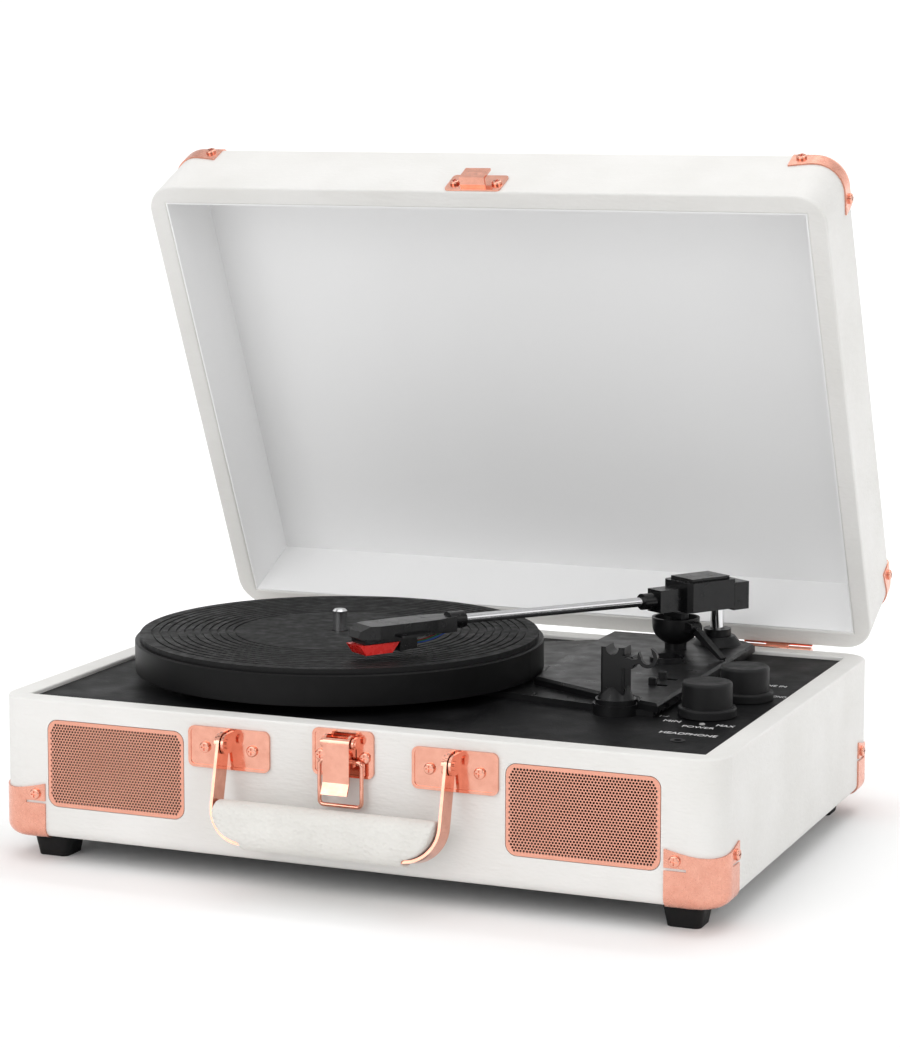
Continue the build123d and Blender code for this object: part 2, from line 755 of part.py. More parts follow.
lid_leaf_seats = [
    face_seat(x + dx, back_y + leaf_t, lid_z + leaf_h * 0.6, back_out, swing_open)
    for x in hinge_xs for dx in (-hinge_len * 0.32, hinge_len * 0.32)
]
with BuildPart() as lid_hinge_leaves:
    for x in hinge_xs:
        add(hinge_leaf(x, middle_starts, outer_starts, lid_z, lid_z + leaf_h, swing_open))
    add(pilot(lid_leaf_seats), mode=Mode.SUBTRACT)
save(lid_hinge_leaves.part, "lid_hinge_leaves")

# ---- lid ----------------------------------------------------------------------------------

lid_base = swing_open(Plane.XY.offset(lid_z))
lid_up = lid_base.z_dir
lid_in_w, lid_in_d = case_w - 2 * lid_wall, case_d - 2 * lid_wall
lid_cap_seats = {name: cap_seats(*side, lid_z + lid_h - lid_cap_h * 0.5, swing_open)
                 for name, side in corners.items()}
catch_seats = [
    face_seat(latch_x + dx, front_y - plate_t, lid_z + catch_h * 0.45, front_out, swing_open)
    for dx in (-catch_w * 0.38, catch_w * 0.38)
]
lid_seats = sum(lid_cap_seats.values(), []) + catch_seats + lid_leaf_seats
lid_form = rounded_block(lid_base, 0, lid_h, "top")

with BuildPart() as lid_shell:
    add(lid_form)
    with BuildSketch(lid_base):
        with Locations((0, mid_y)):
            Rectangle(lid_in_w, lid_in_d)
    extrude(amount=lid_h - lid_top, mode=Mode.SUBTRACT)
    fillet(lid_shell.faces().sort_by(Axis(lid_base.origin, lid_up))[0].edges(), rim_r)
    add(pilot(lid_seats), mode=Mode.SUBTRACT)
save(lid_shell.part, "lid_shell")

with BuildPart() as lid_lining:
    with BuildSketch(lid_base.offset(lid_gap)):
        with Locations((0, mid_y)):
            Rectangle(lid_in_w, lid_in_d)
    extrude(amount=lid_h - lid_top - lid_gap)
    with BuildSketch(lid_base):
        with Locations((0, mid_y)):
            Rectangle(lid_in_w - 2 * lining_t, lid_in_d - 2 * lining_t)
    extrude(amount=lid_h - lid_top - lining_t, mode=Mode.SUBTRACT)
save(lid_lining.part, "lid_lining")

lid_skin = rounded_block(lid_base, cap_t, lid_h + cap_t, "top")
for name, (sx, sy) in corners.items():
    corner = (sx * (case_w / 2 + cap_t), mid_y + sy * (case_d / 2 + cap_t))
    with BuildPart() as cap:
        add(lid_skin)
        add(lid_form, mode=Mode.SUBTRACT)
        with BuildSketch(lid_base.offset(lid_h - lid_cap_h)):
            with Locations(corner):
                Rectangle(2 * (cap_reach + cap_t), 2 * (cap_reach + cap_t))
        extrude(amount=lid_cap_h + cap_t, mode=Mode.INTERSECT)
        with BuildSketch(lid_base.offset(lid_h - cap_t)):
            with Locations((corner[0] - sx * (cap_flange + case_w / 2), corner[1] - sy * (cap_flange + case_d / 2))):
                Rectangle(case_w, case_d)
        extrude(amount=3 * cap_t, mode=Mode.SUBTRACT)
        add(cap_edge(sx, sy, lid_z + lid_h - lid_cap_h, -1, swing_open), mode=Mode.SUBTRACT)
        add(pilot(lid_cap_seats[name]), mode=Mode.SUBTRACT)
    save(cap.part, f"lid_corner_{name}")

catch_seat_z = bail_pin[1] + bail_len - bail_r - 0.4
catch_hook_w = 13.0
catch_lip = 6.2         # front of the hook from the lid
hook_t = 1.2
with BuildPart() as lid_catch:
    with BuildSketch(swing_open(Plane.XZ.offset(-front_y))):
        with Locations((latch_x, lid_z + 0.3 + catch_h / 2)):
            RectangleRounded(catch_w, catch_h, 2)
    extrude(amount=plate_t)
    with BuildSketch(swing_open(Plane.YZ.offset(latch_x - catch_hook_w / 2))):
        with BuildLine():
            Polyline(
                (front_y - plate_t, catch_seat_z), (front_y - catch_lip + hook_t, catch_seat_z),
                (front_y - catch_lip + hook_t, catch_seat_z + 9), (front_y - catch_lip, catch_seat_z + 9),
                (front_y - catch_lip, catch_seat_z - hook_t), (front_y - plate_t, catch_seat_z - hook_t), close=True)
        make_face()
    extrude(amount=catch_hook_w)
    add(pilot(catch_seats), mode=Mode.SUBTRACT)
save(lid_catch.part, "lid_catch")

save(screws(case_seats), "case_screws")
save(screws(lid_seats), "lid_screws")

# ---- turntable ----------------------------------------------------------------------------

pad_z = deck_z + chassis_low
skirt_z = rim_z + platter_top - platter_skirt
platform_right = pivot[0] + 18.5
platform_back = pivot[1] + 13.0
platform_front = pivot[1] - 152.0
platform_left = pivot[0] - 60.0
chassis_inset = 3.0
rest_at = (right_x - rest_right, front_y + rest_front)
rest_lug_r = 10.5
rest_lug_h = 2.0
cue_at = (pivot[0] + cue_out * arm_x[0], pivot[1] + cue_out * arm_x[1])
ring_at = (pivot[0] - 9.0, pivot[1] - 54.0)
switch_at = [(right_x - switch_right, front_y + switch_front + i * switch_pitch) for i in (0, 1)]
switch_w, switch_tab = 2.8, 3.6
switch_slot = switch_tab + switch_travel + 2 * board_gap
shaft_bore_r = 2.0
mound_z = platform_z + mound_h

with BuildPart() as turntable_chassis:
    with BuildSketch(Plane.XY.offset(deck_z)):
        with Locations(spindle):
            Circle(chassis_pad_r)
        with BuildLine():
            Polyline(
                (spindle[0], platform_front + 34), (platform_right - chassis_inset - 12, platform_front + chassis_inset),
                (platform_right - chassis_inset, platform_front + chassis_inset),
                (platform_right - chassis_inset, platform_back - chassis_inset),
                (platform_left, platform_back - chassis_inset), (spindle[0], spindle[1] + 60), close=True)
        make_face()
        with Locations(rest_at):
            Circle(rest_lug_r)
    extrude(amount=chassis_low)
    with BuildSketch(Plane.XY.offset(pad_z)):
        with BuildLine():
            Polyline(
                (platform_left, platform_front + 40), (platform_right - 18, platform_front + 7),
                (platform_right, platform_front), (platform_right, platform_back - 8),
                (platform_right - 8, platform_back), (platform_left, platform_back), close=True)
        make_face()
        with Locations(spindle):
            Circle(platter_r + platter_gap, mode=Mode.SUBTRACT)
        with Locations(rest_at):
            Circle(rest_lug_r, mode=Mode.SUBTRACT)
    extrude(amount=chassis_high)
    top_face = turntable_chassis.faces().filter_by(Plane.XY).sort_by(Axis.Z)[-1]
    chamfer(top_face.outer_wire().edges(), 1.2)
    with BuildSketch(Plane.XY.offset(pad_z)):
        with Locations(rest_at):
            Circle(rest_lug_r)
    extrude(amount=rest_lug_h)
    # two-step mound that carries the arm's bearing
    with BuildSketch(Plane.XY.offset(platform_z)):
        with Locations(pivot):
            Circle(mound_r)
    with BuildSketch(Plane.XY.offset(platform_z + mound_h * 0.55)):
        with Locations(pivot):
            Circle(mound_r * 0.72)
    loft()
    with BuildSketch(Plane.XY.offset(platform_z)):
        with Locations(pivot):
            Circle(mound_r * 0.56)
    extrude(amount=mound_h)
    with BuildSketch(Plane.XY.offset(platform_z)):
        with Locations(ring_at):
            Circle(8.5)
            Circle(6.5, mode=Mode.SUBTRACT)
    extrude(amount=2.5)
    # bores and slots
    with BuildSketch(Plane.XY.offset(deck_z)):
        with Locations(pivot):
            Circle(shaft_bore_r + running_gap)
        with Locations(spindle):
            Circle(spindle_r + screw_slip)
        with Locations(motor_at):
            Circle(pulley_r + 1.5)
        with Locations(cue_at):
            Circle(2.2)
    extrude(amount=mound_z - deck_z, mode=Mode.SUBTRACT)
    with BuildSketch(Plane.XY.offset(pad_z)):
        with Locations(*switch_at):
            Rectangle(switch_slot, switch_w + 2 * board_gap)
    extrude(amount=chassis_high, mode=Mode.SUBTRACT)
save(turntable_chassis.part, "turntable_chassis")

spindle_plane = Plane((*spindle, 0))
with BuildPart() as spindle_part:
    with BuildSketch(spindle_plane.offset(deck_z - deck_t)):
        Circle(spindle_r)
    extrude(amount=rim_z + spindle_rise - deck_z + deck_t)
    chamfer(spindle_part.edges().sort_by(Axis.Z)[-1], 0.9)
    with BuildSketch(spindle_plane.offset(pad_z)):
        Circle(spindle_r * 2)
    extrude(amount=skirt_z - pad_z)
    with BuildSketch(spindle_plane.offset(deck_z - deck_t)):
        Circle(spindle_r * 2)
    extrude(amount=deck_t)
    with BuildSketch(spindle_plane.offset(mat_z - mat_t + board_gap)):
        Circle(spindle_r)
        Circle(neck_r, mode=Mode.SUBTRACT)
    extrude(amount=mat_t - board_gap + running_gap, mode=Mode.SUBTRACT)
save(spindle_part.part, "spindle")

under_platter = rim_z + platter_top - platter_t
with BuildPart() as platter:
    with BuildSketch(spindle_plane.offset(under_platter)):
        Circle(platter_r)
    extrude(amount=platter_t)
    for outer, inner, low in (
        (platter_r, platter_r - platter_t, skirt_z),
        (belt_ring_r, belt_ring_r - belt_ring_t, skirt_z + 2),
        (spindle_r * 3.2, spindle_r, skirt_z + board_gap),
    ):
        with BuildSketch(spindle_plane.offset(low)):
            Circle(outer)
            Circle(inner, mode=Mode.SUBTRACT)
        extrude(amount=under_platter - low)
    with BuildSketch(spindle_plane.offset(skirt_z)):
        Circle(spindle_r + running_gap)
    extrude(amount=platter_skirt, mode=Mode.SUBTRACT)
    chamfer(platter.edges().filter_by(GeomType.CIRCLE).sort_by(SortBy.RADIUS)[-1:], 0.6)
save(platter.part, "platter")

with BuildPart() as platter_mat:
    with BuildSketch(spindle_plane.offset(rim_z + platter_top)):
        Circle(mat_r)
        Circle(spindle_r + 0.4, mode=Mode.SUBTRACT)
    extrude(amount=mat_t)
    groove = 51.0
    while groove < mat_r - 4:
        with BuildSketch(spindle_plane.offset(mat_z - 0.5)):
            Circle(groove + 1.2)
            Circle(groove, mode=Mode.SUBTRACT)
        extrude(amount=0.5, mode=Mode.SUBTRACT)
        groove += 4.0
save(platter_mat.part, "platter_mat")

belt_z = skirt_z + 4
with BuildPart() as drive_belt:
    with BuildSketch(Plane.XY.offset(belt_z)):
        with Locations(spindle):
            Circle(belt_ring_r + running_gap + belt_t)
        with Locations(motor_at):
            Circle(pulley_r + running_gap + belt_t)
        make_hull()
    extrude(amount=belt_h)
    with BuildSketch(Plane.XY.offset(belt_z)):
        with Locations(spindle):
            Circle(belt_ring_r + running_gap)
        with Locations(motor_at):
            Circle(pulley_r + running_gap)
        make_hull()
    extrude(amount=belt_h, mode=Mode.SUBTRACT)
save(drive_belt.part, "drive_belt")

motor_plane = Plane((*motor_at, 0))
with BuildPart() as motor:
    with BuildSketch(motor_plane.offset(deck_z - motor_h)):
        Circle(motor_r)
    extrude(amount=motor_h)
    fillet(motor.edges().sort_by(Axis.Z)[0], 2)
    with BuildSketch(motor_plane.offset(deck_z - motor_h / 2)):
        Circle(motor_shaft_r + running_gap)
    extrude(amount=motor_h / 2, mode=Mode.SUBTRACT)
save(motor.part, "motor")

with BuildPart() as motor_pulley:
    with BuildSketch(motor_plane.offset(belt_z - 1.5)):
        Circle(pulley_r)
    extrude(amount=belt_h + 3)
    with BuildSketch(motor_plane.offset(deck_z - motor_h / 2 + board_gap)):
        Circle(motor_shaft_r)
    extrude(amount=belt_z - deck_z + motor_h / 2)
save(motor_pulley.part, "motor_pulley")

# ---- tonearm ------------------------------------------------------------------------------

pivot_plane = Plane((*pivot, 0))
gimbal_z = rim_z + gimbal_rise
block_low_z, block_top_z = rim_z + block_low, rim_z + block_top
nose_low_z, nose_top_z = rim_z + 25.2, rim_z + 36.5
side_x = (-arm_x[1], arm_x[0], 0)
gimbal_side = Plane(origin=(*pivot, gimbal_z), x_dir=arm_x, z_dir=side_x)
with BuildPart() as arm_pivot:
    with BuildSketch(pivot_plane.offset(deck_z)):
        Circle(shaft_bore_r)
    extrude(amount=mound_z - deck_z)
    with BuildSketch(pivot_plane.offset(mound_z + board_gap)):
        Circle(yoke_r + 0.5)
    extrude(amount=block_low_z - 1 - mound_z)
    with BuildSketch(pivot_plane.offset(mound_z)):
        Circle(yoke_r)
    extrude(amount=gimbal_z + yoke_r - mound_z)
    with BuildSketch(gimbal_side):
        Circle(gimbal_pin_r + running_gap)
    extrude(amount=2 * yoke_r, both=True, mode=Mode.SUBTRACT)
save(arm_pivot.part, "arm_pivot")

# the tube leaves the block's nose at a slight upward pitch
pitch = radians(arm_pitch)
tube_z = rim_z + arm_rise
tube_dir = (arm_x[0] * cos(pitch), arm_x[1] * cos(pitch), sin(pitch))


def on_tube(along):
    """Plane across the tube at a distance from the pivot."""
    rise = tube_z + (along - nose_front) * sin(pitch) / cos(pitch)
    return Plane(origin=(pivot[0] + along * arm_x[0], pivot[1] + along * arm_x[1], rise),
                 x_dir=side_x, z_dir=tube_dir)


collar_r = arm_tube_r + 1.7
pocket = 2 * yoke_r + 3
with BuildPart() as arm_block:
    with BuildSketch(arm_plan.offset(block_low_z)):
        with Locations(((block_front - block_back) / 2, 0)):
            Rectangle(block_front + block_back, 2 * block_half)
    extrude(amount=block_top - block_low - 1.6)
    chamfer(arm_block.edges().filter_by(Axis.Z), 2.2)
    with BuildSketch(arm_plan.offset(block_top_z - 1.6)):
        with Locations(((block_front - block_back) / 2, 0)):
            Rectangle(block_front + block_back - 7, 2 * block_half - 5)
    extrude(amount=1.6)
    with BuildSketch(arm_plan.offset(block_low_z - 1.5)):
        with Locations((-(tail_back + block_back) / 2, 0)):
            Rectangle(tail_back - block_back + 2, 2 * tail_half)
    extrude(amount=block_top - block_low - 2.5)
    with BuildSketch(arm_plan.offset(nose_low_z)):
        with Locations(((nose_front - 4 + block_front) / 2, 0)):
            Rectangle(nose_front - 4 - block_front, 2 * nose_half)
    extrude(amount=nose_top_z - nose_low_z)
    with BuildSketch(arm_plan.offset(block_low_z - 2)):
        Rectangle(pocket, pocket)
    extrude(amount=gimbal_z + yoke_r + 1.5 - block_low_z + 2, mode=Mode.SUBTRACT)
    with BuildSketch(gimbal_side):
        Circle(gimbal_pin_r)
    extrude(amount=block_half - 1, both=True)
    with BuildSketch(on_tube(block_front + 4)):
        Circle(collar_r)
    extrude(amount=nose_front - block_front)
    with BuildSketch(on_tube(block_front + 4)):
        Circle(arm_tube_r + screw_slip)
    extrude(amount=nose_front, mode=Mode.SUBTRACT)
save(arm_block.part, "arm_block")

tube_start, tube_end = block_front + 5, shell_back + 6
with BuildPart() as arm_tube:
    with BuildSketch(on_tube(tube_start)):
        Circle(arm_tube_r)
        Circle(arm_tube_r - arm_wall, mode=Mode.SUBTRACT)
    extrude(amount=(tube_end - tube_start) / cos(pitch))
save(arm_tube.part, "arm_tube")

shell_low = rim_z + 30.4
shell_top = rim_z + 36.6
with BuildPart() as headshell:
    with BuildSketch(arm_side):
        with BuildLine():
            Polyline(
                (shell_back + 7, shell_low - 1.4), (shell_back + 7, shell_top - 0.3), (shell_front - 6, shell_top),
                (shell_front - 1.5, shell_top - 2.2), (shell_front, shell_low + 1), (shell_front - 2, shell_low),
                (shell_back + 30, shell_low), close=True)
        make_face()
    extrude(amount=shell_half, both=True)
    with BuildSketch(arm_plan.offset(shell_low - 2)):
        with BuildLine():
            Polyline(
                (shell_back + 6, -5), (shell_back + 20, -shell_half), (shell_front - 10, -shell_half),
                (shell_front, -shell_half + 4), (shell_front, shell_half - 4), (shell_front - 10, shell_half),
                (shell_back + 20, shell_half), (shell_back + 6, 5), close=True)
        make_face()
    extrude(amount=12, mode=Mode.INTERSECT)
    # finger rest on the side away from the record
    with BuildSketch(arm_plan.offset(shell_low)):
        with Locations((shell_back + 33, shell_half + 1.5)):
            RectangleRounded(18, 5, 1.2)
    extrude(amount=1.2)
    with BuildSketch(on_tube(shell_back)):
        Circle(collar_r)
    extrude(amount=9)
    with BuildSketch(on_tube(shell_back - 1)):
        Circle(arm_tube_r + screw_slip)
    extrude(amount=tube_end - shell_back + 1.5, mode=Mode.SUBTRACT)
save(headshell.part, "headshell")

cartridge_half = 6.0
stylus_z = rim_z + stylus_rise
with BuildPart() as cartridge:
    with BuildSketch(arm_side):
        with BuildLine():
            Polyline(
                (arm_len - 24.8, shell_low), (arm_len - 24.8, stylus_z + 2.6), (arm_len - 15.3, stylus_z + 1.6),
                (arm_len - 15.3, stylus_z + 6.6), (shell_front - 3, stylus_z + 6.6), (shell_front - 3, shell_low),
                close=True)
        make_face()
    extrude(amount=cartridge_half, both=True)
save(cartridge.part, "cartridge")

with BuildPart() as stylus:
    with BuildSketch(arm_side):
        with BuildLine():
            Polyline(
                (arm_len - 15, stylus_z + 6.3), (shell_front, stylus_z + 6.3), (arm_len + 3.5, stylus_z + 1.6),
                (arm_len - 11, stylus_z + 1.6), close=True)
        make_face()
    extrude(amount=cartridge_half, both=True)
    tip = Plane(origin=(pivot[0] + arm_len * arm_x[0], pivot[1] + arm_len * arm_x[1], stylus_z), z_dir=(0, 0, 1))
    with BuildSketch(tip.offset(1.8)):
        Circle(0.7)
    with BuildSketch(tip):
        Circle(0.2)
    loft()
save(stylus.part, "stylus")

# ---- cue housing, lift and lever ----------------------------------------------------------

cue_plane = Plane((*cue_at, 0))
cue_top = rim_z + cue_rise
cue_floor = rim_z + 12
lift_r = 2.4
with BuildPart() as cue_housing:
    with BuildSketch(Plane(origin=(*cue_at, 0), x_dir=(1, 0, 0), z_dir=(0, -1, 0))):
        with BuildLine():
            Polyline((lift_r + running_gap, platform_z), (5.5, platform_z), (5.5, cue_floor - 3.5))
            Spline((5.5, cue_floor - 3.5), (cue_r - 1.5, cue_floor + 1), (cue_r, cue_top),
                   tangents=((0.6, 0.4), (0, 1)))
            Polyline((cue_r, cue_top), (cue_r - 1.4, cue_top), (cue_r - 2.6, cue_floor + 2),
                     (cue_r - 6, cue_floor), (lift_r + running_gap, cue_floor), (lift_r + running_gap, platform_z))
        make_face()
    revolve(axis=Axis((*cue_at, 0), (0, 0, 1)))
    # ears for the lever on the outer side
    for along in (-3.4, 2.0):
        with BuildSketch(Plane(origin=(cue_at[0] + along * arm_x[0], cue_at[1] + along * arm_x[1], 0),
                               x_dir=side_x, z_dir=arm_x)):
            with Locations((cue_r + 2.2, cue_top - 3.4)):
                Circle(2.4)
            with Locations((cue_r + 0.6, cue_top - 3.4)):
                Rectangle(3.6, 4.8)
        extrude(amount=1.4)
    with BuildSketch(Plane(origin=(*cue_at, 0), x_dir=side_x, z_dir=arm_x)):
        with Locations((cue_r + 2.2, cue_top - 3.4)):
            Circle(1.0 + running_gap)
    extrude(amount=5, both=True, mode=Mode.SUBTRACT)
save(cue_housing.part, "cue_housing")

lift_top = block_low_z - 0.4
with BuildPart() as cue_lift:
    with BuildSketch(cue_plane.offset(platform_z)):
        Circle(lift_r)
    extrude(amount=lift_top - platform_z)
    with BuildSketch(arm_plan.offset(lift_top - 2.6)):
        with Locations((cue_out, 0)):
            SlotOverall(2 * cue_r - 7, 5, rotation=90)
    extrude(amount=2.6)
save(cue_lift.part, "cue_lift")

lever_reach, lever_fall = 23.0, 12.5
with BuildPart() as cue_lever:
    with BuildSketch(Plane(origin=(cue_at[0] - 1.7 * arm_x[0], cue_at[1] - 1.7 * arm_x[1], 0),
                           x_dir=side_x, z_dir=arm_x)):
        with Locations((cue_r + 2.2, cue_top - 3.4)):
            Circle(2.3)
        with BuildLine():
            Polyline(
                (cue_r + 2.2, cue_top - 1.3), (cue_r + 2.2 + lever_reach, cue_top - 2.6 - lever_fall),
                (cue_r + 2.2 + lever_reach - 1, cue_top - 3.8 - lever_fall), (cue_r + 1.6, cue_top - 5.6), close=True)
        make_face()
    extrude(amount=3.4)
    with BuildSketch(Plane(origin=(*cue_at, 0), x_dir=side_x, z_dir=arm_x)):
        with Locations((cue_r + 2.2, cue_top - 3.4)):
            Circle(1.0)
    extrude(amount=3.4, both=True)
save(cue_lever.part, "cue_lever")

# ---- arm rest and clip --------------------------------------------------------------------

rest_plane = Plane((*rest_at, 0))
rest_z = pad_z + rest_lug_h
rest_top = rim_z + rest_rise
post_w = 11.5
clip_out, clip_drop, clip_t = 8.4, 6.5, 2.4
clip_reach, clip_rise = 9.4, 3.3    # hook middle from the clip's pin
clip_pin_r = 1.0
clip_front = Plane(origin=(rest_at[0], rest_at[1] - post_w / 2, rest_top), x_dir=(1, 0, 0), z_dir=(0, -1, 0))
clip_pin = (clip_out, -clip_drop)
clip_hook = (clip_out + clip_reach, clip_rise - clip_drop)
with BuildPart() as arm_rest:
    with BuildSketch(rest_plane.offset(rest_z)):
        Circle(rest_lug_r - 1)
    extrude(amount=2.2)
    with BuildSketch(rest_plane.offset(rest_z + 2.2)):
        Circle(rest_lug_r - 2)
    with BuildSketch(rest_plane.offset(rest_z + 8)):
        RegularPolygon(post_w / 2, 8, major_radius=False)
    loft()
    with BuildSketch(rest_plane.offset(rest_z)):
        RectangleRounded(post_w, post_w, 1.5)
    extrude(amount=rest_top - rest_z)
    with BuildSketch(Plane(origin=(*rest_at, 0), x_dir=(1, 0, 0), z_dir=(0, -1, 0))):
        with Locations((0, rest_top)):
            SlotOverall(7, 6.2, rotation=90)
    extrude(amount=post_w, both=True, mode=Mode.SUBTRACT)
    with BuildSketch(clip_front):
        with Locations((clip_out - 1.5, -clip_drop)):
            Rectangle(6, 5.6)
        with Locations(clip_pin):
            Circle(2.8)
            Circle(clip_pin_r + running_gap, mode=Mode.SUBTRACT)
    extrude(amount=-post_w / 2)
save(arm_rest.part, "arm_rest")

with BuildPart() as arm_clip:
    with BuildSketch(clip_front.offset(board_gap)):
        with Locations(clip_hook):
            Circle(4.8)
            Circle(3.0, mode=Mode.SUBTRACT)
        with Locations((clip_hook[0] - 1.6, clip_hook[1] + 4.5)):
            Rectangle(6.0, 7.0, rotation=19, mode=Mode.SUBTRACT)
        with Locations(clip_pin):
            Circle(2.6)
        with Locations(((clip_pin[0] + clip_hook[0] - 3.6) / 2, clip_pin[1] + 0.9)):
            Rectangle(clip_reach - 3.2, 2.4, rotation=12)
    extrude(amount=clip_t)
    with BuildSketch(clip_front.offset(board_gap)):
        with Locations(clip_pin):
            Circle(clip_pin_r)
    extrude(amount=-(post_w / 2 - 1))
save(arm_clip.part, "arm_clip")

# ---- controls -----------------------------------------------------------------------------

board_z = deck_z - deck_t - 15
for name, spot in (("volume_knob", volume_at), ("selector_knob", selector_at)):
    foot = Plane((*spot, deck_z + knob_gap))
    with BuildPart() as knob:
        with BuildSketch(foot):
            Circle(knob_flange_r)
        extrude(amount=knob_flange_h)
        fillet(knob.edges().sort_by(Axis.Z)[-1], 1.2)
        with BuildSketch(foot.offset(knob_flange_h)):
            Circle(knob_r)
        extrude(amount=knob_h - knob_flange_h - knob_gap)
        fillet(knob.edges().sort_by(Axis.Z)[-1], 1.4)
        with BuildSketch(foot):
            Circle(shaft_r)
        extrude(amount=-(deck_z + knob_gap - board_z - 4))
    save(knob.part, name)

with BuildPart() as control_board:
    with BuildSketch(Plane.XY.offset(board_z)):
        with Locations(((volume_at[0] + selector_at[0]) / 2 - 4, (volume_at[1] + selector_at[1]) / 2)):
            Rectangle(34, selector_at[1] - volume_at[1] + 46)
    extrude(amount=-1.6)
    with BuildSketch(Plane.XY.offset(board_z)):
        with Locations(volume_at, selector_at):
            RectangleRounded(17, 17, 2)
    extrude(amount=8)
    with BuildSketch(Plane.XY.offset(board_z + 8)):
        with Locations(volume_at, selector_at):
            Circle(shaft_r + 1.5)
    extrude(amount=deck_z - deck_t - board_z - 8)
    with BuildSketch(Plane.XY.offset(board_z + 3)):
        with Locations(volume_at, selector_at):
            Circle(shaft_r + running_gap)
    extrude(amount=20, mode=Mode.SUBTRACT)
save(control_board.part, "control_board")

with BuildPart() as power_light:
    with BuildSketch(Plane((*light_at, deck_z - deck_t - 2))):
        Circle(light_r)
    extrude(amount=deck_t + 2 + 0.7)
    fillet(power_light.edges().sort_by(Axis.Z)[-1], 0.6)
    with BuildSketch(Plane((*light_at, deck_z - deck_t - 2))):
        Circle(light_r + 0.8)
    extrude(amount=2)
save(power_light.part, "power_light")

jack_len = 14.0
with BuildPart() as headphone_jack:
    with BuildSketch(Plane((*jack_at, deck_z + 0.4))):
        Circle(jack_r)
    extrude(amount=-(deck_t + 0.4))
    with BuildSketch(Plane((*jack_at, deck_z - deck_t))):
        RectangleRounded(10, 10, 1)
    extrude(amount=-(jack_len - deck_t + 2))
    with BuildSketch(Plane((*jack_at, deck_z + 0.4))):
        Circle(jack_bore_r)
    extrude(amount=-jack_len, mode=Mode.SUBTRACT)
save(headphone_jack.part, "headphone_jack")

for name, spot in zip(("speed_switch", "auto_stop_switch"), switch_at):
    with BuildPart() as switch:
        with BuildSketch(Plane.XY.offset(pad_z + board_gap)):
            with Locations((spot[0] - switch_travel / 2, spot[1])):
                Rectangle(switch_tab, switch_w)
        extrude(amount=chassis_high + 3.4)
        chamfer(switch.faces().sort_by(Axis.Z)[-1].edges(), 0.5)
    save(switch.part, name)

socket_face = Plane.XZ.offset(-back_y)
rca_r, rca_bore_r, rca_out, dc_bore_r = 4.1, 1.6, 9.0, 2.75
socket_plate_t = 1.2
socket_xs = (socket_x + 20, socket_x + 2, socket_x - 20)
with BuildPart() as rear_sockets:
    with BuildSketch(socket_face):
        with Locations((socket_x, socket_z)):
            RectangleRounded(socket_plate_w, socket_plate_h, 2)
    extrude(amount=-socket_plate_t)
    with BuildSketch(socket_face):
        with Locations((socket_xs[0], socket_z), (socket_xs[1], socket_z)):
            Circle(rca_r)
    extrude(amount=-rca_out)
    with BuildSketch(socket_face):
        with Locations((socket_x, socket_z)):
            Rectangle(socket_plate_w - 8, socket_plate_h - 8)
    extrude(amount=12)
    with BuildSketch(socket_face.offset(-rca_out)):
        with Locations((socket_xs[0], socket_z), (socket_xs[1], socket_z)):
            Circle(rca_bore_r)
    extrude(amount=rca_out + 10, mode=Mode.SUBTRACT)
    with BuildSketch(socket_face.offset(-socket_plate_t)):
        with Locations((socket_xs[2], socket_z)):
            Circle(dc_bore_r)
    extrude(amount=socket_plate_t + 8, mode=Mode.SUBTRACT)
save(rear_sockets.part, "rear_sockets")
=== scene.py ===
import bpy
import bmesh
import math
from mathutils import Matrix, Vector


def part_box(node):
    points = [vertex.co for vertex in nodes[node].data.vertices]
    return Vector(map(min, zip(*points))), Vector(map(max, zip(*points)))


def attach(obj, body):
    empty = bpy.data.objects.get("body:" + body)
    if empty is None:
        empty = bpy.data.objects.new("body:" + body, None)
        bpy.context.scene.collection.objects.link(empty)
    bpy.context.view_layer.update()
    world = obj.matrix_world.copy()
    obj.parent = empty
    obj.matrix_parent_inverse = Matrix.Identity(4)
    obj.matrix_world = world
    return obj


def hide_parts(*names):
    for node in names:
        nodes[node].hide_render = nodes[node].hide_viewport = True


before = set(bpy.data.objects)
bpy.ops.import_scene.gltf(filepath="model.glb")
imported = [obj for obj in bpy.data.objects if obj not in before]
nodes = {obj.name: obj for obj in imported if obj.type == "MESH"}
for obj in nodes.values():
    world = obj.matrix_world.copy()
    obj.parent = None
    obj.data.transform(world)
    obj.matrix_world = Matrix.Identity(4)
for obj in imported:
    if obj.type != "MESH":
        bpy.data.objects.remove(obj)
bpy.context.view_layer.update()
MM = 0.001

# ---- Where it stands and how it is lit ------------------------------------------------------
# A seamless pale paper sheet lies under the player and rises far behind it. Soft boxes in front,
# at the right and above light it evenly, a fourth lights the paper behind, and the camera looks
# down a little from front right.

front_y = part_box("case_shell")[0].y

turn, tilt, roll = math.radians(22.293), math.radians(6.631), math.radians(0.087)
back = Vector((math.sin(turn) * math.cos(tilt), -math.cos(turn) * math.cos(tilt), math.sin(tilt)))
right = Vector((math.cos(turn), math.sin(turn), 0))
up = back.cross(right)
aimed = Matrix((right, up, back)).transposed().to_4x4() @ Matrix.Rotation(roll, 4, "Z")
camera_place = (0.5259, front_y - 1.1509, 0.3576)
camera_data = bpy.data.cameras.new("camera")
camera_data.lens = 99.05
camera_data.sensor_width = 36.0
camera_data.shift_x = -0.003
camera_data.shift_y = -0.0874
camera_data.clip_start, camera_data.clip_end = 0.05, 50.0
camera = bpy.data.objects.new("camera", camera_data)
camera.matrix_world = Matrix.Translation(camera_place) @ aimed
bpy.context.scene.collection.objects.link(camera)
bpy.context.scene.camera = camera

bpy.context.scene.view_settings.view_transform = "Standard"

